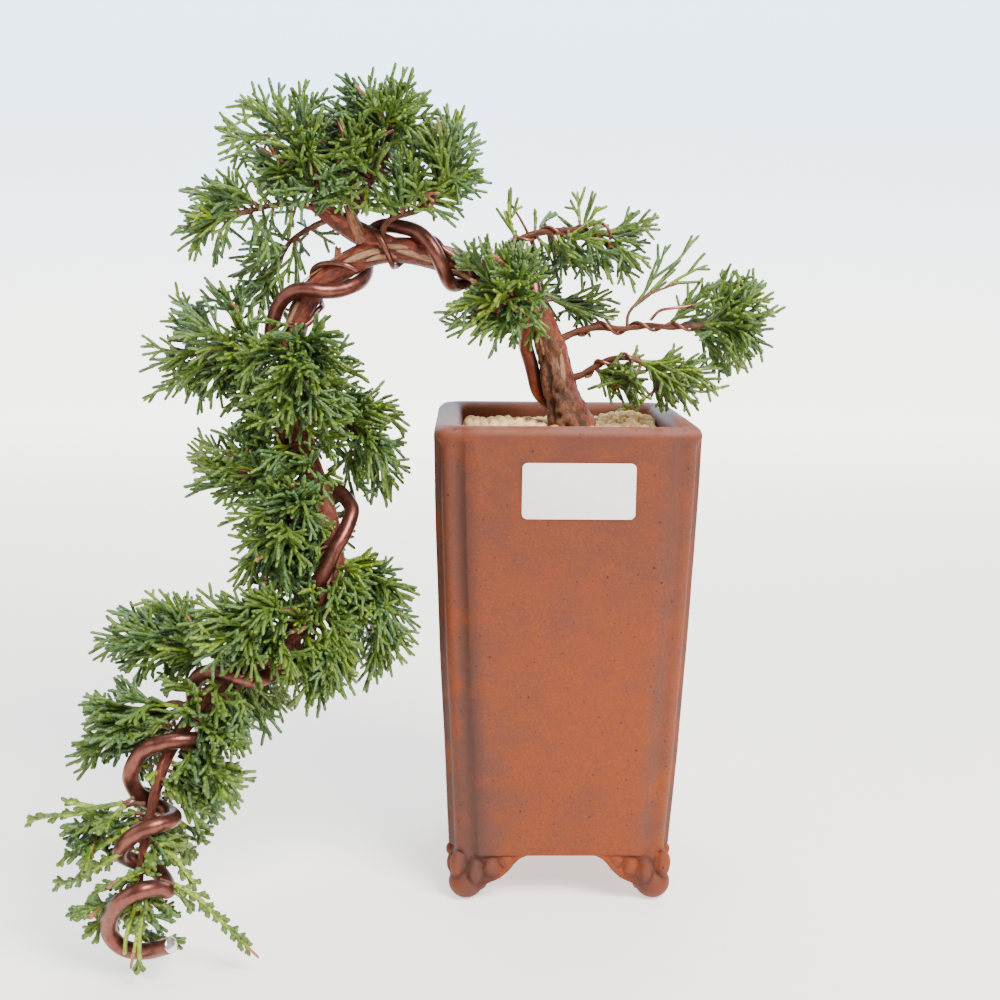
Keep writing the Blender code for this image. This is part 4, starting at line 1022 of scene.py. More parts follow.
def grain_shape(name, seed, finish):
    """An angular grain a unit across."""
    rng = random.Random(seed)
    bpy.ops.mesh.primitive_ico_sphere_add(subdivisions=2, radius=0.5)
    grain = bpy.context.object
    grain.name = name
    cuts = [Vector([rng.uniform(-1, 1) for _ in range(3)]).normalized() for _ in range(9)]
    for vertex in grain.data.vertices:
        for cut in cuts:
            over = vertex.co @ cut - 0.37
            if over > 0:
                vertex.co -= cut * over * 0.85
        vertex.co *= 1.0 + 0.10 * noise.noise(vertex.co * 4.0 + Vector((seed, 0, 0)))
        vertex.co.z *= 0.82
    grain.data.materials.append(finish)
    grain.data.shade_smooth()
    return grain


def new_tree(name, inputs):
    """A geometry tree with these named inputs: its graph, and the sockets that give them."""
    tree = bpy.data.node_groups.new(name, "GeometryNodeTree")
    tree.interface.new_socket("Geometry", in_out="OUTPUT", socket_type="NodeSocketGeometry")
    for title, kind in inputs.items():
        tree.interface.new_socket(title, in_out="INPUT", socket_type="NodeSocket" + kind)
    return Graph(tree), tree.nodes.new("NodeGroupInput").outputs


def random_share(graph, low, high, seed):
    """A number between two for each point."""
    inputs = {2: low, 3: high, "Seed": seed}
    return graph.node("FunctionNodeRandomValue", {"data_type": "FLOAT"}, inputs, 1)


def grains_tree(shapes):
    """Geometry nodes that strew grains over a surface, turned and sized at random."""
    graph, given = new_tree("strewn_grains", {
        "Surface": "Geometry", "Grain": "Float", "Spacing": "Float", "Seed": "Int", "Finish": "Material"})
    spread = graph.node("GeometryNodeDistributePointsOnFaces", {"distribute_method": "POISSON"}, {
        "Mesh": given["Surface"], "Distance Min": given["Spacing"], "Density Max": GRAIN_DENSITY,
        "Seed": given["Seed"]})
    choice = graph.node("GeometryNodeCollectionInfo", {"transform_space": "ORIGINAL"}, {
        "Collection": shapes, "Separate Children": True, "Reset Children": True})
    spin = graph.node("FunctionNodeRandomValue", {"data_type": "FLOAT_VECTOR"}, {
        0: (0.0, 0.0, 0.0), 1: GRAIN_SPIN, "Seed": given["Seed"]})
    size = random_share(graph, *GRAIN_SHARES, given["Seed"]) * given["Grain"]
    grains = graph.node("GeometryNodeInstanceOnPoints", None, {
        "Points": spread, "Instance": choice, "Pick Instance": True, "Rotation": spin, "Scale": size})
    stored = graph.node("GeometryNodeStoreNamedAttribute", {"data_type": "FLOAT", "domain": "INSTANCE"}, {
        "Geometry": grains, "Name": "shade", "Value": random_share(graph, 0.0, 1.0, SHADE_SEED)})
    real = graph.node("GeometryNodeRealizeInstances", None, {"Geometry": stored})
    dressed = graph.node("GeometryNodeSetMaterial", None, {"Geometry": real, "Material": given["Finish"]})
    graph.node("NodeGroupOutput", None, {"Geometry": dressed})
    return graph.tree


def add_tree(piece, tree, **inputs):
    """Puts a geometry tree on a piece and sets its inputs by their identifiers."""
    modifier = piece.modifiers.new(tree.name, "NODES")
    modifier.node_group = tree
    for item in tree.interface.items_tree:
        if item.in_out == "INPUT" and item.name in inputs:
            modifier[item.identifier] = inputs[item.name]


class JUNIPER_OT_soil(bpy.types.Operator):
    """Fill the pot and strew its top with pumice grains"""
    bl_idname = "juniper.soil"
    bl_label = "Soil"

    def execute(self, context):
        pot = values_of(context.scene.juniper.pot)
        settings = values_of(context.scene.juniper.soil)
        finish = pumice_finish(settings).material
        points, faces = soil_bed(pot)
        bed = mesh_object("soil_bed", points, faces, [finish])
        point_attribute(bed, "shade", np.full(len(points), 0.15))
        finish_piece(bed, "pumice", "soil")
        reach = pot_half(pot, SOIL_LEVEL) - pot.wall - 2.4
        finish_piece(strewn_grains(settings, reach, finish), "pumice", "soil")
        return {"FINISHED"}


def strewn_grains(settings, reach, finish):
    """The grains on top of the bed, out to this far from the pot's axis."""
    side = np.linspace(-reach, reach, STREWN_POINTS)
    top = [(x, y, soil_height(x, y)) for y in side for x in side]
    grains = mesh_object("pumice_grains", top, grid_faces(STREWN_POINTS))
    shapes = bpy.data.collections.new("grain_shapes")
    for k in range(GRAIN_KINDS):
        grain = grain_shape("grain_%d" % k, k + 1, finish)
        for home in list(grain.users_collection):
            home.objects.unlink(grain)
        shapes.objects.link(grain)
    add_tree(grains, grains_tree(shapes), Grain=settings.grain * MM, Spacing=settings.spacing * MM,
             Seed=settings.seed, Finish=finish)
    as_plain_mesh(grains)
    for grain in list(shapes.objects):
        bpy.data.objects.remove(grain)
    bpy.data.collections.remove(shapes)
    grains.data.shade_smooth()
    return grains


def pumice_finish(settings):
    """Pumice from tan to cream by the grain, with darker pits."""
    stone = Finish("pumice_grain", {"Specular IOR Level": 0.25})
    place = stone.object_place()
    shade = stone.attribute("shade")
    rough = stone.noise(place, 0.9 * MM, 5.0, 0.7)
    body = stone.mix(stone.rise(shade, 0.15, 0.85), settings.tan, settings.cream)
    stone.put("Base Color", stone.mix(stone.fall(rough, 0.30, 0.55) * 0.45, body, PUMICE_PIT))
    stone.put("Roughness", 0.86 + rough * 0.1)
    stone.put("Normal", stone.bump(rough, 0.30))
    return stone


# ---- trunk and boughs ----
FIBRE_TWIST = 0.012  # how far the bark's fibres turn round a limb, radians for each mm
FIBRE_LENGTH = 10.0  # mm along a limb for each unit of the fibre attribute
FURROW_EDGE = 0.16  # the noise at which a furrow of old bark begins
KNOT_SPREAD = 31.0  # how many mm round the trunk a whole turn counts for a knot


def turn_apart(angle, turn):
    """How many turns, from -0.5 to 0.5, an angle lies from a place given in turns."""
    return (angle / (2 * np.pi) - turn + 0.5) % 1.0 - 0.5


def bark_height(s, angle, old):
    """The height of the bark's fibres, and of furrows and crumbs where the bark is old."""
    twist = angle + FIBRE_TWIST * s
    c, d = math.cos(twist), math.sin(twist)
    fibre = noise.noise(Vector((3.2 * c, 3.2 * d, s / 16.0)))
    furrow = abs(noise.noise(Vector((3.3 * c + 5, 3.3 * d, s / 19.0))))
    crumb = noise.noise(Vector((5.0 * c, 5.0 * d, s / 2.6)))
    groove = min(furrow, FURROW_EDGE) / FURROW_EDGE - 1.0
    return 0.42 * fibre + old * (1.7 * groove + 0.45 + 0.55 * crumb)


def bark_relief(along, angle, depth, age, knots):
    """The share of the radius at each ring and side, from the bark and its knots."""
    made = 1.0 + depth * np.array([[bark_height(s, a, age(s, a)) for a in angle] for s in along])
    for far, turn, radius, height in knots:
        around = turn_apart(angle, turn)[None] * KNOT_SPREAD
        apart = np.hypot(along[:, None] - far, around) / radius
        made += height / 5.0 * (np.exp(-apart**2) - 0.75 * np.exp(-(apart * 2.6) ** 2))
    return made


def standing_out(relief):
    """1 where a surface is as high as its surroundings, more on its ridges and less in its cracks."""
    around = np.zeros_like(relief)
    shifts = [(up, over) for up in (-3, 0, 3) for over in (-3, 0, 3) if up or over]
    for up, over in shifts:
        rows = np.clip(np.arange(len(relief)) + up, 0, len(relief) - 1)
        around += np.roll(relief[rows], over, axis=1) / len(shifts)
    return 1.0 + 1.7 * (relief - around)


def torn_end(route, sides, torn):
    """How far each ring and side is moved along a limb so that its end looks torn."""
    along = distances(route)
    rng = random.Random(len(route))
    reach = np.array([rng.uniform(-torn, torn) for _ in range(sides)])
    fade = np.clip((along - along[-1] + 2.2 * torn) / (2.2 * torn), 0, 1)[:, None, None]
    return fade * reach[None, :, None] * tangents(route)[:, None, :]


def bark_tube(name, route, sides, depth, age, finish, knots=(), torn=0.0, frames=carried_frames):
    """A limb with bark in relief, and the attributes that its finish reads."""
    along = distances(route)
    angle = 2 * np.pi * np.arange(sides) / sides
    relief = bark_relief(along, angle, depth, age, knots)
    rings = swept(route, route[:, 3], sides, frames(route), relief)
    if torn:
        rings = rings + torn_end(route, sides, torn)
    limb = mesh_object(name, rings.reshape(-1, 3), ring_faces(len(route), sides), [finish])
    fibre = [(math.cos(a), math.sin(a), s / FIBRE_LENGTH) for s in along for a in angle]
    point_attribute(limb, "fibre", fibre, "FLOAT_VECTOR")
    point_attribute(limb, "age", [age(s, a) for s in along for a in angle])
    # where the relief stands lower than round it, the bark's finish paints shade
    point_attribute(limb, "height", standing_out(relief).ravel())
    return limb


def trunk_age(s, angle):
    """1 in the old bark at the foot, 0 on the cleaned bark of the arch and of one strip below it."""
    strip = math.exp(-((turn_apart(angle, LIVE_STRIP) / 0.07) ** 2))
    return min(1.0, max(0.0, (62 - s) / 34)) * (1 - strip) + 0.25 * min(1.0, max(0.0, (s - 150) / 60))


class JUNIPER_OT_trunk(bpy.types.Operator):
    """Make the trunk from its flare over the arch to the tip of the cascade"""
    bl_idname = "juniper.trunk"
    bl_label = "Trunk"

    def execute(self, context):
        bark = values_of(context.scene.juniper.bark)
        route = smooth_route(TRUNK, 0.8)
        buried = route[0] + (0.0, 0.0, -TRUNK_BURIED, 0.3)
        route = np.vstack([buried, route])
        route[:, 3] *= np.interp(distances(route), *TAIL_THINS)
        finish = bark_finish("juniper_bark", bark).material
        trunk = bark_tube("bark_of_trunk", route, 44, bark.relief, trunk_age, finish, KNOTS,
                          frames=front_frames)
        finish_piece(trunk, "bark", *[name for name, _, _ in TRUNK_LIMBS])
        flakes = bark_flakes(route, finish)
        finish_piece(flakes, "bark", "trunk_arch")
        return {"FINISHED"}


# strips of bark that peel off: distance along the trunk, turn, length and width in mm, lift at the tip
PEEL_PLACES = (
    (96, 0.97, 17, 3.4, 1.6), (103, 0.03, 14, 3.0, 1.2), (110, 0.93, 12, 2.4, 2.4),
    (118, 0.02, 16, 3.2, 1.3), (88, 0.15, 10, 2.0, 1.8), (79, 0.88, 15, 2.6, 1.2),
    (72, 0.12, 12, 2.6, 2.2), (66, 0.80, 12, 2.2, 1.0), (121, 0.30, 20, 4.0, 1.0),
    (131, 0.22, 18, 3.4, 1.4), (140, 0.30, 15, 2.8, 1.0), (100, 0.55, 16, 3.0, 1.8),
    (86, 0.58, 14, 3.0, 1.5), (125, 0.70, 16, 2.8, 1.7), (150, 0.1, 12, 2.2, 1.4),
    (172, 0.95, 12, 2.4, 1.2), (50, 0.05, 12, 2.4, 0.9), (36, 0.92, 13, 2.6, 1.0),
    (24, 0.06, 12, 2.8, 0.9), (243, 0.0, 14, 2.4, 1.4), (262, 0.85, 12, 2.4, 1.2),
    (300, 0.1, 12, 2.2, 1.0),
)
# a strip's cross-section: shares of its half width, and heights in mm
PEEL_SECTION = ((-1, -0.3), (-0.4, 0.12), (0.4, 0.12), (1, -0.3), (0.4, -0.16), (-0.4, -0.16))
PEEL_STEPS = 9


def bark_flakes(route, finish):
    """Thin strips that lie along the trunk and lift off it towards one end."""
    along = distances(route)
    tables = (route, *front_frames(route))
    points, faces, fibre = [], [], []
    for far, turn, size, width, lift in PEEL_PLACES:
        steps = np.linspace(0, 1, PEEL_STEPS)
        where = far + TRUNK_BURIED + size * (steps - 0.5)
        rows = zip(steps, where, *(at_distances(where, along, table) for table in tables))
        faces += ring_faces(PEEL_STEPS, len(PEEL_SECTION), len(points))
        for t, s, centre, front, outer in rows:
            a = 2 * math.pi * turn + 0.25 * (t - 0.5)
            out = math.cos(a) * front + math.sin(a) * outer
            side = math.cos(a) * outer - math.sin(a) * front
            raised = 0.12 + lift * max(0.0, t - 0.45) ** 1.6 * 2.2
            half = 0.5 * width * (0.35 + 0.65 * math.sin(math.pi * min(1.0, 0.15 + 0.95 * t)) ** 0.6)
            middle = centre[:3] + out * (centre[3] * 1.03 + raised)
            for share, up in PEEL_SECTION:
                points.append(middle + side * half * share + out * up)
                fibre.append((3.0 + share, far, s / FIBRE_LENGTH))
    flakes = mesh_object("peeling_bark", points, faces, [finish])
    point_attribute(flakes, "fibre", fibre, "FLOAT_VECTOR")
    point_attribute(flakes, "age", np.full(len(points), -1.0))
    point_attribute(flakes, "height", np.full(len(points), 1.1))
    return flakes


# short torn stubs on the fork: points with a radius, mm
STUBS = (
    ("torn_stub_up", ((-73.0, -8.0, 239.0, 3.0), (-75.6, -9.0, 244.0, 2.4), (-78.4, -9.5, 250.5, 1.5))),
    ("torn_stub_small", ((-82.2, -8.0, 229.5, 1.7), (-82.3, -9.0, 233.0, 1.4), (-82.1, -9.5, 236.5, 1.2))),
    ("torn_stub_back", ((-70.0, -1.0, 236.0, 2.4), (-69.0, 4.0, 239.0, 1.9), (-69.0, 7.5, 243.0, 1.3))),
)


class JUNIPER_OT_boughs(bpy.types.Operator):
    """Make the boughs, the apex limb with its torn end and the torn stubs at the fork"""
    bl_idname = "juniper.boughs"
    bl_label = "Boughs"

    def execute(self, context):
        finish = bark_finish("bough_bark", values_of(context.scene.juniper.bark)).material
        for name, (_, points, root, tip) in BOUGHS.items():
            route = smooth_route(points, 0.7)
            radii = np.linspace(root, tip, len(route))
            if name == "apex_limb":
                route = np.column_stack([route, radii])
                limb = bark_tube("bark_of_" + name, route, 30, 0.20, even_age(0.12), finish, torn=2.4)
                finish_piece(limb, "bark", name)
                continue
            lumps = [1 + 0.13 * noise.noise(Vector((s / 2.6, root * 7, 0))) for s in distances(route)]
            route = np.column_stack([route, radii * np.array(lumps)])
            limb = bark_tube("bark_of_" + name, route, 14, 0.22, even_age(0.7), finish)
            finish_piece(limb, "bough_bark", name)
        for name, points in STUBS:
            stub = bark_tube(name, smooth_route(points, 0.6), 16, 0.25, even_age(-0.3), finish, torn=1.3)
            finish_piece(stub, "bark", "trunk_arch")
        return {"FINISHED"}


def even_age(age):
    """The same age all over a limb; below 0 its bark is peeled."""
    return lambda s, angle: age


# colours of the bark that the settings don't hold, linear
LIVE_CRACK = (0.070, 0.017, 0.010)
LIVE_GLOW = (0.42, 0.105, 0.045)
OLD_CRACK = (0.045, 0.026, 0.018)
OLD_SCUFF = (0.40, 0.20, 0.125)
OLD_HOLLOW_SHADE = (0.045, 0.024, 0.016)
PEEL_SHADE = (0.25, 0.125, 0.070)


def bark_finish(name, settings):
    """Bark from cleaned and red (age 0) to old and furrowed (age 1), and peeled wood below 0."""
    bark = Finish(name, {"Specular IOR Level": 0.32})
    fibre = bark.attribute("fibre", "Vector")
    age = bark.attribute("age")
    streak = bark.noise(fibre, 0.22, 5.0, 0.62, 0.4)
    patch = bark.noise(fibre, 1.1, 3.0, 0.5)
    fine = bark.noise(fibre, 0.07, 4.0, 0.6)
    height = bark.attribute("height")
    live = bark.mix(bark.rise(streak, 0.40, 0.66), LIVE_CRACK, settings.live)
    live = bark.mix(bark.rise(patch, 0.54, 0.68) * 0.45, live, LIVE_GLOW)
    live = bark.mix(bark.rise(streak * 0.6 + patch * 0.4, 0.58, 0.68) * 0.5, live, settings.peel)
    grain = fine * 0.5 + streak * 0.5
    old = bark.mix(bark.rise(grain, 0.38, 0.62), OLD_CRACK, settings.old)
    old = bark.mix(bark.rise(patch, 0.54, 0.68) * 0.6, old, OLD_SCUFF)
    # painted shade in the hollows of the old bark
    old = bark.mix(bark.fall(height, 0.88, 1.0) * 0.8, old, OLD_HOLLOW_SHADE)
    body = bark.mix(bark.rise(age, 0.0, 1.0), live, old)
    peel = bark.mix(bark.rise(streak, 0.4, 0.62), PEEL_SHADE, settings.peel)
    body = bark.mix(bark.fall(age, -0.6, -0.1), body, peel)
    bark.put("Base Color", body)
    bark.put("Roughness", 0.48 + bark.rise(age, 0.0, 0.8) * 0.38 + (fine - 0.5) * 0.3)
    bark.put("Normal", bark.bump(grain, 0.55))
    return bark


# ---- wires ----
CUT_WIRE = (0.86, 0.86, 0.88)
HEAVY_NODES = 6  # the frame has the heavy wire in so many nodes


class JUNIPER_OT_wires(bpy.types.Operator):
    """Wind the training wires on the trunk and the boughs"""
    bl_idname = "juniper.wires"
    bl_label = "Wires"

    def execute(self, context):
        sizes = values_of(context.scene.juniper.wire)
        brown = wire_finish("anodised_wire", sizes.brown, 0.36).material
        copper = wire_finish("copper_wire", sizes.copper, 0.34).material
        cut = wire_finish("cut_aluminium", CUT_WIRE, 0.22).material
        heavy, *others = wire_routes(limb_routes(), sizes)
        route = np.vstack([heavy[0][0] - (0, 0, TRUNK_BURIED), heavy[0]])
        wire = wire_tube("training_wire", route, heavy[1], 20, [brown, cut])
        finish_piece(wire, "anodised_wire", *["wire_%d" % (k + 1) for k in range(HEAVY_NODES)])
        rows = [("second_wire_%d" % (k + 1), "thin_wire_%d" % (k + 1), 12, [brown, cut])
                for k in range(len(THIN_WIRE_TURNS))]
        rows += [("fine_wire_on_" + bough, "wire_on_" + bough, 8, [copper, copper])
                 for bough, _, _, _ in BOUGH_WIRES]
        rows += [("loose_wire_%d" % (k + 1), "wire_on_right_bough", 8, [copper, cut])
                 for k in range(len(LOOSE_WIRES))]
        for (name, node, sides, finishes), (route, radius) in zip(rows, others):
            finish_piece(wire_tube(name, route, radius, sides, finishes), "anodised_wire", node)
        return {"FINISHED"}


def wire_tube(name, route, radius, sides, finishes):
    """A round wire with its far end cut square and its edge dulled."""
    frames = carried_frames(route)
    rings = swept(route, np.full(len(route), radius), sides, frames)
    t = tangents(route)
    end = swept(route[-1:] + 0.35 * t[-1:], [radius * 0.86], sides, (frames[0][-1:], frames[1][-1:]))
    rings = np.vstack([rings, end])
    wire = mesh_object(name, rings.reshape(-1, 3), ring_faces(len(rings), sides), finishes)
    for face in list(wire.data.polygons)[-1 - sides:]:
        face.material_index = 1
    wire.data.set_sharp_from_angle(angle=math.radians(50))
    return wire


def wire_finish(name, shade, dullness):
    """Drawn metal with darker smears."""
    metal = Finish(name, {"Metallic": 0.82})
    place = metal.object_place()
    smear = metal.noise(place, 2.6 * MM, 4.0, 0.6)
    darker = tuple(0.62 * c for c in shade)
    metal.put("Base Color", metal.mix(metal.rise(smear, 0.3, 0.7), darker, shade))
    metal.put("Roughness", dullness + (smear - 0.5) * 0.22)
    metal.put("Normal", metal.bump(metal.noise(place, 0.8 * MM, 3.0), 0.035))
    return metal


# ---- foliage ----
# The rule is the frame's own: one stem runs from the limb to the middle of a mass, shoots leave it
# towards targets spread evenly over the mass, and side cords stand on each shoot.  Here it is carried
# finer: more shoots, cords all along them, and short cords on those.
class Crown:
    """Knows the space of every mass and what foliage keeps clear of."""

    def __init__(self, solids, views):
        self.middles = np.array([row[2] for row in MASSES.values()], float)
        self.halves = np.array([row[3] for row in MASSES.values()], float)
        self.eye = np.array(CAMERA_PLACE) / MM
        sight = views[:, :3] - self.eye
        self.view_far = np.linalg.norm(sight, axis=1)
        self.view_ways = sight / self.view_far[:, None]
        self.view_radii = views[:, 3]
        self.solids = np.vstack(solids)
        self.widest = self.solids[:, 3].max()
        self.tree = KDTree(len(self.solids))
        for k, point in enumerate(self.solids[:, :3]):
            self.tree.insert(point, k)
        self.tree.balance()

    def depth(self, point):
        """0 in the middle of a mass, 1 on the skin of the masses taken together, and more outside."""
        return math.sqrt((((point - self.middles) / self.halves) ** 2).sum(axis=1).min())

    def hides(self, point, radius):
        """Whether a point stands before a stretch of wire that stays in view."""
        across = point - self.eye
        along = self.view_ways @ across
        apart = np.sqrt(np.maximum(across @ across - along**2, 0.0))
        near = self.view_radii + radius + VIEW_CLEAR
        return bool(((along < self.view_far) & (apart < near)).any())

    def clear(self, point, radius, sizes):
        """Whether a point keeps off the floor, the pot, the limbs and the wires, and out of their view."""
        x, y, z = point
        if z < radius + FLOOR_CLEAR:
            return False
        if z < POT_HEIGHT + radius + TWIG_CLEAR and max(abs(x), abs(y)) < pot_half(sizes, z) + radius:
            return False
        reach = self.widest + radius + TWIG_CLEAR
        for _, k, apart in self.tree.find_range(point, reach):
            if apart < self.solids[k, 3] + radius + TWIG_CLEAR:
                return False
        return not self.hides(point, radius)


def grow_stem(crown, routes, name):
    """The stem from its limb to the middle of the mass, from the clearest place near by."""
    limb, fraction, middle, _, _, _ = MASSES[name]
    route = routes[limb]
    middle = np.array(middle, float)
    t = tangents(route)
    if fraction >= 1.0:
        start = route[-1, :3] - STEM_SUNK * t[-1]
        ahead = start + 0.35 * np.linalg.norm(middle - start) * t[-1]
        return bend(start, ahead, middle, STEM_POINTS)
    choices = []
    for shift in STEM_SHIFTS:
        k = int(round(fraction * (len(route) - 1))) + shift
        if not 1 <= k < len(route) - 1:
            continue
        across = middle - route[k, :3]
        flat = unit(across - t[k] * (across @ t[k]))
        for roll in STEM_ROLLS:
            out = turned(flat, t[k], roll)
            start = route[k, :3] + (route[k, 3] + GAP + 0.1) * out
            stem = bend(start, start + 0.4 * np.linalg.norm(middle - start) * out, middle, STEM_POINTS)
            room = stem_room(crown, stem) - 0.05 * abs(shift) - 0.01 * abs(roll)
            stem[0] -= STEM_SUNK * out
            choices.append((room, len(choices), stem))
    return max(choices)[2]


def stem_room(crown, stem):
    """How clear a stem runs of the limbs and wires, with less asked of its root."""
    apart = np.linalg.norm(stem[:, None] - crown.solids[None, :, :3], axis=2) - crown.solids[None, :, 3]
    return min(apart[1:].min() - 1.6, apart[0].min() + 1.2)


def name_seed(name):
    """The seed that belongs to a name, as in the frame."""
    return sum(ord(letter) * (k + 1) for k, letter in enumerate(name))


def leader_targets(name, rng):
    """The points that a mass's main shoots grow towards, and how far out each may grow."""
    _, _, middle, half, count, tips = MASSES[name]
    middle, half = np.array(middle, float), np.array(half, float)
    targets = [] if name in LEADERS else [(np.array(tip, float), math.inf) for tip in tips]
    for way in spread_ways(count, rng):
        targets.append((middle + half * way * rng.uniform(0.82, 1.06), 1.08))
    return targets


def fine_targets(name, rng, fullness):
    """Points all through a mass, more of them near its skin."""
    _, _, middle, half, count, _ = MASSES[name]
    middle, half = np.array(middle, float), np.array(half, float)
    targets = []
    for way in spread_ways(int(round(count * fullness)), rng):
        targets.append(middle + half * way * (0.48 + 0.52 * rng.random() ** 0.55))
    return targets


def spread_ways(count, rng):
    """Directions spread evenly over a sphere."""
    golden = math.pi * (3 - math.sqrt(5))
    ways = []
    for k in range(count):
        height = 1 - 2 * (k + 0.5) / count
        level = math.sqrt(1 - height * height)
        turn = golden * k + rng.uniform(-0.3, 0.3)
        ways.append(np.array([level * math.cos(turn), level * math.sin(turn), height]))
    return ways


class Growth:
    """Grows the twigs and leafy cords of one mass or limb and keeps them as (points, radii, shade)."""

    def __init__(self, crown, name, height, sparse, settings, pot):
        self.crown = crown
        self.name = name
        self.settings = settings
        self.pot = pot
        self.rng = random.Random(name_seed(name) + settings.seed)
        self.coral = float(np.clip((80 - height) / 40, 0.0, 1.0))
        self.side_radius = settings.cord * self.between(1.0, 1.14)
        self.sparse = sparse
        self.cords = []
        self.twigs = []

    def between(self, above, below):
        """A value for this mass, from the straight growth high up to the coral growth low down."""
        return above + (below - above) * self.coral

    def fits(self, points, radius, limit):
        """Whether points stay within a limit of depth and keep clear of what is there."""
        for point in points:
            if limit < math.inf and self.crown.depth(point) > limit:
                return False
            if not self.crown.clear(point, radius, self.pot):
                return False
        return True

    def add(self, where, points, root, tip, shade):
        """A strand with scales in its outline: its radius goes in and out along it."""
        route = evenly(points, CORD_STEP)
        t = np.linspace(0, 1, len(route))
        radii = root + (tip - root) * t
        radii[1:-1:2] *= self.between(0.90, 0.82)
        if where is self.cords:
            last = route[-1] - route[-2]
            share = min(0.5, CORD_ROUND / np.linalg.norm(last))
            route = np.vstack([route[:-1], route[-1] - share * last, route[-1]])
            radii = np.append(radii, 0.45 * radii[-1])
        where.append((route, radii, shade))

    def shades(self, depth):
        """The colours of a shoot's axis and of its side cords; inner shoots get darker greens as painted
        shade.
        """
        pick = self.rng.random()
        # shoots deep inside the masses get the darker greens: painted shade
        if depth < 0.72:
            return ("green", "deep") if pick < 0.6 else ("olive", "green")
        if pick < 0.36:
            return "olive", "green"
        if pick < self.between(0.42, 0.66):
            return "fresh", "green"
        if pick < 0.70:
            return "green", "blue"
        if pick < 0.93:
            return "green", "green"
        return "fresh", "olive"

    def grow_mass(self, stem, limb):
        """The stem, the main shoots from it, and the finer shoots that leave both and the limb."""
        route = evenly(stem, 2.0)
        thin = 0.55 if self.sparse else self.between(1.0, 0.6)
        self.twigs.append((route, thin * np.linspace(*STEM_RADII, len(route)), "wood"))
        for browned, points in LEADERS.get(self.name, ()):
            self.grow_shoot(smooth_route(points, 1.0), math.inf, SHOOT_WOOD, ("fresh", "green"), browned)
        carriers = [stem[3:]] + self.grow_leaders(stem)
        ways = [tangents(carrier) for carrier in carriers]
        flow = unit(unit(stem[-1] - stem[0]) - 0.25 * UP)
        near, leaving = self.limb_places(limb, stem[-1], flow)
        self.grow_fine(np.vstack([*carriers, near]), np.vstack([*ways, leaving]), flow)

    def grow_leaders(self, stem):
        """The main shoots, and the inner stretches of them that finer shoots can leave."""
        made = []
        targets = leader_targets(self.name, self.rng)
        wood = SHOOT_WOOD if self.sparse else LEADER_WOOD
        for order, (target, limit) in enumerate(targets):
            place = 0.3 + 0.68 * order / max(1, len(targets) - 1)
            root = stem[int(place * (len(stem) - 1))]
            curve = self.try_shoot(root, unit(stem[-1] - stem[0]), target, limit, wood)
            if curve is not None:
                made.append(curve[:7])
        return made

    def grow_fine(self, points, ways, flow):
        """Fine shoots all through the mass, each from the place that it leaves with the least turn."""
        fullness = self.settings.fullness * OPEN_MASSES.get(self.name, 1.0)
        for target in fine_targets(self.name, self.rng, fullness):
            across = target - points
            apart = np.linalg.norm(across, axis=1)
            align = np.sum(across * ways, axis=1) / apart
            with_flow = across @ flow / apart
            cost = (0.6 * abs(apart - self.between(18, 12)) + 6 * (1 - align) + 9 * (1 - with_flow)
                    + 100 * (apart < 5))
            k = int(np.argmin(cost))
            if apart[k] > 5:
                self.try_shoot(points[k], ways[k], target, 1.02, SHOOT_WOOD)

    def limb_places(self, limb, middle, flow):
        """Places on the near side of a limb that shoots of this mass can leave, and their ways."""
        t = tangents(limb)
        across = middle - limb[:, :3]
        apart = np.linalg.norm(across, axis=1)
        flat = across - t * np.sum(across * t, axis=1)[:, None]
        out = flat / np.maximum(np.linalg.norm(flat, axis=1), 0.01)[:, None]
        keep = (apart > LIMB_REACH[0]) & (apart < LIMB_REACH[1])
        ways = out + 0.8 * flow
        ways /= np.linalg.norm(ways, axis=1)[:, None]
        return (limb[:, :3] + (limb[:, 3:] - SHOOT_SUNK) * out)[keep][::3], ways[keep][::3]

    def grow_along(self, route, start, end, spacing, turn, spread, shortest, longest, limit, droop):
        """Short shoots that leave a limb directly, all along a stretch of it."""
        along = distances(route)
        front, outer = front_frames(route)
        t = tangents(route)
        s = start * along[-1]
        while s < end * along[-1]:
            k = int(np.searchsorted(along, s))
            a = 2 * math.pi * (turn + self.rng.uniform(-spread, spread))
            out = math.cos(a) * front[k] + math.sin(a) * outer[k]
            size = self.rng.uniform(shortest, longest)
            root = route[k, :3] + (route[k, 3] - SHOOT_SUNK) * out
            lift = (self.rng.uniform(-0.3, 0.3) - droop) * UP
            target = root + size * unit(out + 0.5 * self.rng.uniform(-0.4, 1.0) * t[k] + lift)
            self.try_shoot(root, out, target, limit, 2.0 * SHOOT_WOOD)
            s += spacing * self.rng.uniform(0.6, 1.4)

    def try_shoot(self, root, way, target, limit, wood):
        """Grows a shoot from the root to the target, or short of it where something is in the way."""
        for shorter in SHOOT_TRIES:
            end = root + (target - root) * (1.0 if math.isinf(limit) else shorter)
            size = np.linalg.norm(end - root)
            if size < SHOOT_LEAST:
                return None
            pull = root + 0.35 * size * (way + 0.6 * (end - root) / size)
            curve = bend(root, pull, end, 10)
            if self.fits(curve[3:], SHOOT_ROOM, limit):
                self.grow_shoot(curve, limit, wood, self.shades(self.crown.depth(end)))
                return curve
        return None

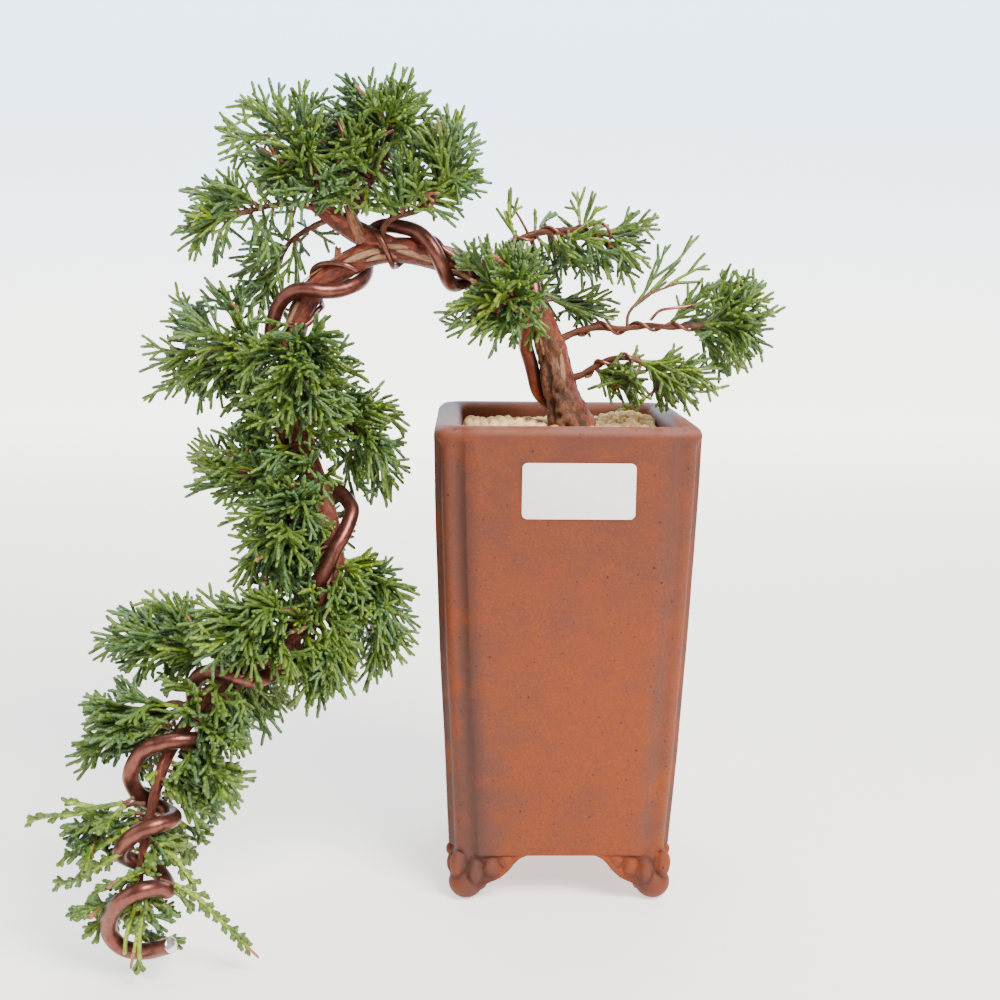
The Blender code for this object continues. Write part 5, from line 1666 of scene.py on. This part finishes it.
    def grow_shoot(self, curve, limit, wood, shades, browned=False):
        """A woody root, a leafy axis and the cords along it."""
        axis_shade, side_shade = shades
        route = evenly(curve, 1.0)
        along = distances(route)
        leafy = wood * along[-1]
        split = max(1, int(np.searchsorted(along, leafy)))
        self.add(self.twigs, route[:split + 2], 0.72, 0.5, "wood")
        radius = self.settings.cord
        thick = self.between(1.02, 1.5) * radius
        if browned:
            cut = len(route) - BROWNED_POINTS
            self.add(self.cords, route[split:cut], thick, 0.85 * radius, axis_shade)
            self.add(self.cords, route[cut - 1:], 0.9 * radius, 0.6 * radius, "dead")
        else:
            self.add(self.cords, route[split:], thick, self.between(0.72, 0.95) * radius, axis_shade)
        end = along[-1] - (5 if browned else 1.2)
        self.grow_sides(route, leafy, end, limit + self.between(0.20, 0.10), side_shade)

    def grow_sides(self, route, start, end, limit, shade):
        """Side cords along a shoot, to its one hand and its other by turns."""
        along = distances(route)
        t = tangents(route)
        turn = self.rng.uniform(0, 360)
        flat = unit(np.cross(t[len(t) // 2], np.array([0.3, 0.2, 0.93])))
        spacing = self.between(3.3, 1.9)
        wider = 1.6 if self.sparse else 1.0
        s = start + self.rng.uniform(0, 1.5)
        hand = 0
        while s < end:
            k = int(np.searchsorted(along, s))
            roll = turn + 180 * hand + self.rng.uniform(-50, 50)
            side = turned(unit(flat - t[k] * (flat @ t[k])), t[k], roll)
            self.grow_side(route[k], t[k], side, along[-1] - s, limit, shade)
            s += spacing * self.rng.uniform(0.7, 1.3) * wider
            hand += 1

    def grow_side(self, root, along, side, left, limit, shade):
        """A side cord, shorter where little is left of its shoot or something is in the way."""
        lean = math.radians(self.rng.uniform(21, 39))
        way = math.cos(lean) * along + math.sin(lean) * side
        longest = 5.0 if math.isinf(limit) and not self.sparse else self.between(15.5, 7.5)
        least = self.between(6.0, 2.6)
        reach = min(longest, max(least, 0.85 * left + self.between(3.0, 2.0))) * self.rng.uniform(0.65, 1.1)
        radius = self.side_radius
        for shorter in CORD_TRIES:
            size = reach * shorter
            end = root + size * (0.86 * way + 0.14 * along) - 0.04 * size * UP
            line = bend(root, root + 0.5 * size * way, end, 5)
            if size > 1.8 and self.fits(line[2:], radius, limit):
                break
        else:
            return
        rust = 0.03 if self.crown.depth(end) < 0.5 else 0.006
        tone = "dead" if self.rng.random() < rust else shade
        self.add(self.cords, line, radius, self.between(0.80, 0.9) * radius, tone)
        if not self.sparse:
            self.grow_little(line, size, way, side, limit, tone)

    def grow_little(self, line, size, way, side, limit, tone):
        """Up to three short cords on a side cord of this size."""
        radius = self.side_radius
        across = np.cross(way, side)
        count = min(3, int(size / self.between(8.5, 2.3)))
        for n in range(count):
            at = line[1] + (line[3] - line[1]) * (n + self.rng.uniform(0.1, 0.6)) / max(1, count)
            hand = 1 if n % 2 else -1
            off = hand * (0.85 * np.cross(way, across) + self.rng.uniform(-0.6, 0.6) * across)
            turn = math.radians(self.rng.uniform(28, 44))
            little = unit(math.cos(turn) * way + math.sin(turn) * unit(off))
            reach = min(max(self.rng.uniform(0.32, 0.58) * size, 1.6), self.between(6.5, 3.4))
            tip = at + reach * little
            if self.fits((tip, (at + tip) / 2), 0.8 * radius, limit):
                short = np.array([at, (at + tip) / 2, tip])
                self.add(self.cords, short, 0.95 * radius, 0.75 * radius, tone)


def strand_tree(shades):
    """Geometry nodes that give poly lines a round body by their radius, and a finish by their shade."""
    graph, given = new_tree("strands", {
        "Lines": "Geometry", "Sides": "Int", **{shade: "Material" for shade in shades}})
    curve = graph.node("GeometryNodeMeshToCurve", None, {"Mesh": given["Lines"]})
    radius = graph.node("GeometryNodeInputNamedAttribute", {"data_type": "FLOAT"}, {"Name": "radius"})
    ring = graph.node("GeometryNodeCurvePrimitiveCircle", None, {"Resolution": given["Sides"], "Radius": 1.0})
    body = graph.node("GeometryNodeCurveToMesh", None, {
        "Curve": curve, "Profile Curve": ring, "Scale": radius, "Fill Caps": True})
    body = graph.node("GeometryNodeRealizeInstances", None, {"Geometry": body})
    shade = graph.node("GeometryNodeInputNamedAttribute", {"data_type": "INT"}, {"Name": "shade"})
    for k, name in enumerate(shades):
        settings = {"data_type": "INT", "operation": "EQUAL"}
        same = graph.node("FunctionNodeCompare", settings, {2: shade, 3: k})
        body = graph.node("GeometryNodeSetMaterial", None, {
            "Geometry": body, "Selection": same, "Material": given[name]})
    graph.node("NodeGroupOutput", None, {"Geometry": body})
    return graph.tree


def strand_object(name, strands, tree, sides, finishes):
    """One plain mesh from many strands."""
    edges, radii, shades = [], [], []
    start = 0
    names = list(finishes)
    for route, radius, shade in strands:
        edges += [(start + k, start + k + 1) for k in range(len(route) - 1)]
        radii.append(radius * MM)
        shades.append(np.full(len(route), names.index(shade)))
        start += len(route)
    points = placed(np.vstack([route for route, _, _ in strands]))
    piece = new_object(name, new_mesh(name, points.tolist(), edges, []))
    point_attribute(piece, "radius", np.concatenate(radii))
    kind = piece.data.attributes.new("shade", "INT", "POINT")
    kind.data.foreach_set("value", np.concatenate(shades).astype(np.int32))
    add_tree(piece, tree, Sides=sides, **finishes)
    as_plain_mesh(piece)
    piece.data.shade_smooth()
    for spare in ("radius", "shade"):
        if spare in piece.data.attributes:
            piece.data.attributes.remove(piece.data.attributes[spare])
    return piece


def make_crown(routes, wires):
    """What the foliage keeps clear of: the limbs, the wires on them, and the view of the heavy wire."""
    heavy, radius = wires[0]
    along = distances(heavy)
    views = np.vstack([heavy[(along > start) & (along < end)][::2] for start, end in WIRE_VIEWS])
    wound = wires[:len(wires) - len(LOOSE_WIRES)]
    solids = [np.column_stack([route, np.full(len(route), size)])[::2] for route, size in wound]
    return Crown([*routes.values(), *solids], np.column_stack([views, np.full(len(views), radius)]))


def strand_triangles(strands, sides):
    """How many triangles the bodies of these strands have."""
    return sum(2 * sides * (len(route) - 1) + 2 * (sides - 2) for route, _, _ in strands)


class JUNIPER_OT_foliage(bpy.types.Operator):
    """Grow the twigs and the leafy cords of every mass"""
    bl_idname = "juniper.foliage"
    bl_label = "Foliage"

    def execute(self, context):
        juniper = context.scene.juniper
        settings = values_of(juniper.foliage)
        pot = values_of(juniper.pot)
        routes = limb_routes()
        crown = make_crown(routes, wire_routes(routes, values_of(juniper.wire)))
        grown = []
        for name, (limb, _, middle, _, count, _) in MASSES.items():
            growth = Growth(crown, name, middle[2], count == 0, settings, pot)
            growth.grow_mass(grow_stem(crown, routes, name), routes[limb])
            grown.append(growth)
        for limb, *stretch in LIMB_SHOOTS:
            growth = Growth(crown, limb, routes[limb][:, 2].mean(), False, settings, pot)
            growth.grow_along(routes[limb], *stretch)
            grown.append(growth)
        greens = {shade: leaf_finish(shade, getattr(settings, shade)).material for shade in LEAF_SHADES}
        self.make_pieces("foliage", grown, "cords", settings.sides, greens)
        self.make_pieces("twigs", grown, "twigs", TWIG_SIDES, {"wood": twig_finish(settings.wood).material})
        return {"FINISHED"}

    def make_pieces(self, title, grown, kind, sides, finishes):
        """Joins the strands of whole masses into pieces that keep under the limit."""
        tree = strand_tree(list(finishes))
        groups = [[]]
        for growth in grown:
            size = strand_triangles(getattr(growth, kind), sides)
            held = sum(strand_triangles(getattr(g, kind), sides) for g in groups[-1])
            if held + size > PIECE_TRIANGLES:
                groups.append([])
            groups[-1].append(growth)
        for k, group in enumerate(groups):
            strands = [strand for growth in group for strand in getattr(growth, kind)]
            piece = strand_object("%s_%d" % (title, k + 1), strands, tree, sides, finishes)
            finish_piece(piece, "juniper_leaf" if kind == "cords" else "bough_bark",
                         *[growth.name for growth in group if growth.name in MASSES])


def leaf_finish(shade, base):
    """Scaly leaf, mottled a little."""
    leaf = Finish("leaf_" + shade, {"Roughness": 0.40, "Specular IOR Level": 0.5})
    place = leaf.object_place()
    mottle = leaf.noise(place, 1.3 * MM, 2.0)
    paler, darker = (tuple(share * c for c in base) for share in (1.22, 0.74))
    leaf.put("Base Color", leaf.mix(leaf.rise(mottle, 0.36, 0.64), darker, paler))
    leaf.put("Normal", leaf.bump(leaf.cells(place, 0.85 * MM), 0.30))
    return leaf


def twig_finish(shade):
    """Flaking bark of a twig."""
    wood = Finish("twig_bark", {"Roughness": 0.8})
    place = wood.object_place()
    flake = wood.noise(place, 1.1 * MM, 4.0, 0.6)
    wood.put("Base Color", wood.mix(wood.rise(flake, 0.35, 0.65), tuple(0.5 * c for c in shade), shade))
    wood.put("Normal", wood.bump(flake, 0.4))
    return wood


# ---- stage ----
CAMERA_PLACE = (-0.0352, -0.4939, 0.2304)  # about the pot's axis, m
CAMERA_PITCH = 9.997  # degrees down
CAMERA_YAW = 1.454  # towards +X
CAMERA_ROLL = 0.615
CAMERA_LENS = 47.57  # mm on a frame 36 mm square
# soft lights: the name, the place in m, the width in m, the setting that holds the power, the colour
LIGHTS = (
    ("key_light", (0.50, -0.60, 0.95), 0.5, "key", (1.0, 0.98, 0.95)),
    ("fill_light", (-0.90, -0.35, 0.60), 0.9, "fill", (0.93, 0.97, 1.0)),
    ("top_light", (0.0, 0.25, 1.1), 0.8, "fill", (1.0, 1.0, 1.0)),
)
LIGHT_AIM = (0.0, 0.0, 0.15)
SURROUND_SHADE = (0.88, 0.94, 1.0)
FLOOR_REACH = (-3.0, 1.5, 4.0)  # to the front, back to the bend, and up the backdrop, m
FLOOR_WIDTH = 6.0
FLOOR_BEND = 0.9


def camera_matrix():
    """The camera's place and turn, from its pitch, yaw and roll."""
    pitch, yaw, roll = (math.radians(a) for a in (CAMERA_PITCH, CAMERA_YAW, CAMERA_ROLL))
    ahead = Vector((math.sin(yaw) * math.cos(pitch), math.cos(yaw) * math.cos(pitch), -math.sin(pitch)))
    level = Vector((math.cos(yaw), -math.sin(yaw), 0.0))
    up = level.cross(ahead)
    right = math.cos(roll) * level + math.sin(roll) * up
    top = -math.sin(roll) * level + math.cos(roll) * up
    turn = Matrix((right, top, -ahead)).transposed().to_4x4()
    return Matrix.Translation(Vector(CAMERA_PLACE) + Vector(POT_AXIS)) @ turn


def area_light(name, place, size, power, shade):
    """A square soft light that faces the middle of the plant."""
    lamp = bpy.data.lights.new(name, "AREA")
    lamp.shape = "SQUARE"
    lamp.size = size
    lamp.energy = power
    lamp.color = shade
    light = new_object(name, lamp)
    light.location = Vector(place)
    light.rotation_euler = (Vector(LIGHT_AIM) - Vector(place)).to_track_quat("-Z", "Y").to_euler()


def set_surround(strength):
    """A little light from all sides."""
    world = bpy.data.worlds.new("surround")
    world.use_nodes = True
    background = world.node_tree.nodes["Background"]
    background.inputs["Color"].default_value = (*SURROUND_SHADE, 1.0)
    background.inputs["Strength"].default_value = strength
    bpy.context.scene.world = world


def set_camera():
    lens = bpy.data.cameras.new("camera")
    lens.lens = CAMERA_LENS
    lens.sensor_width = 36.0
    lens.sensor_fit = "HORIZONTAL"
    camera = new_object("camera", lens)
    camera.matrix_world = camera_matrix()
    bpy.context.scene.camera = camera


class JUNIPER_OT_stage(bpy.types.Operator):
    """Set up the floor, the soft lights and the camera"""
    bl_idname = "juniper.stage"
    bl_label = "Stage"

    def execute(self, context):
        settings = values_of(context.scene.juniper.stage)
        make_floor(settings)
        for name, place, size, power, shade in LIGHTS:
            area_light(name, place, size, getattr(settings, power), shade)
        set_surround(settings.around)
        set_camera()
        return {"FINISHED"}


def make_floor(settings):
    """A floor that curves up into a backdrop behind the plant."""
    front, back, top = FLOOR_REACH
    turns = np.linspace(0, math.pi / 2, 17)
    arc = [(back + FLOOR_BEND * math.sin(a), FLOOR_BEND - FLOOR_BEND * math.cos(a)) for a in turns]
    outline = [(front, 0.0)] + arc + [(back + FLOOR_BEND, top)]
    points = [(x, y, z) for y, z in outline for x in (-FLOOR_WIDTH / 2, FLOOR_WIDTH / 2)]
    faces = [(2 * k, 2 * k + 1, 2 * k + 3, 2 * k + 2) for k in range(len(outline) - 1)]
    mesh = new_mesh("backdrop", points, [], faces)
    mesh.shade_smooth()
    mesh.materials.append(backdrop_finish(settings).material)
    return new_object("backdrop", mesh)


def backdrop_finish(settings):
    """Paper that glows a little, more of it towards the back."""
    sheet = Finish("backdrop_paper", {"Roughness": 0.9})
    place = sheet.node("ShaderNodeTexCoord", out="Object")
    up, back = sheet.part(place, "Z"), sheet.part(place, "Y")
    shade = sheet.mix(sheet.rise(up, 0.0, 0.7), settings.floor, settings.sky)
    sheet.put("Base Color", shade)
    sheet.put("Emission Color", sheet.mix(0.3 + 0.7 * sheet.rise(back, 0.1, 1.6), (0.0, 0.0, 0.0), shade))
    sheet.put("Emission Strength", settings.glow)
    return sheet


# ---- panel and registration ----
OPERATORS = (JUNIPER_OT_pot, JUNIPER_OT_label, JUNIPER_OT_soil, JUNIPER_OT_trunk, JUNIPER_OT_boughs,
             JUNIPER_OT_wires, JUNIPER_OT_foliage, JUNIPER_OT_stage)


class JUNIPER_PT_panel(bpy.types.Panel):
    """Settings and steps of the juniper bonsai"""
    bl_idname = "JUNIPER_PT_panel"
    bl_label = "Juniper Bonsai"
    bl_space_type = "VIEW_3D"
    bl_region_type = "UI"
    bl_category = "Juniper"

    def draw(self, context):
        for title, group in context.scene.juniper.bl_rna.properties.items():
            if group.type != "POINTER":
                continue
            box = self.layout.box()
            box.label(text=title.title())
            settings = getattr(context.scene.juniper, title)
            for name in settings.__annotations__:
                box.prop(settings, name)
        for step in OPERATORS:
            self.layout.operator(step.bl_idname)


CLASSES = (PotSettings, SoilSettings, BarkSettings, WireSettings, FoliageSettings, StageSettings,
           JuniperSettings, *OPERATORS, JUNIPER_PT_panel)


def register():
    for made in CLASSES:
        bpy.utils.register_class(made)
    bpy.types.Scene.juniper = bpy.props.PointerProperty(type=JuniperSettings)


def unregister():
    del bpy.types.Scene.juniper
    for made in reversed(CLASSES):
        bpy.utils.unregister_class(made)


def main():
    register()
    for step in OPERATORS:
        group, name = step.bl_idname.split(".")
        getattr(getattr(bpy.ops, group), name)()


if __name__ == "__main__":
    main()
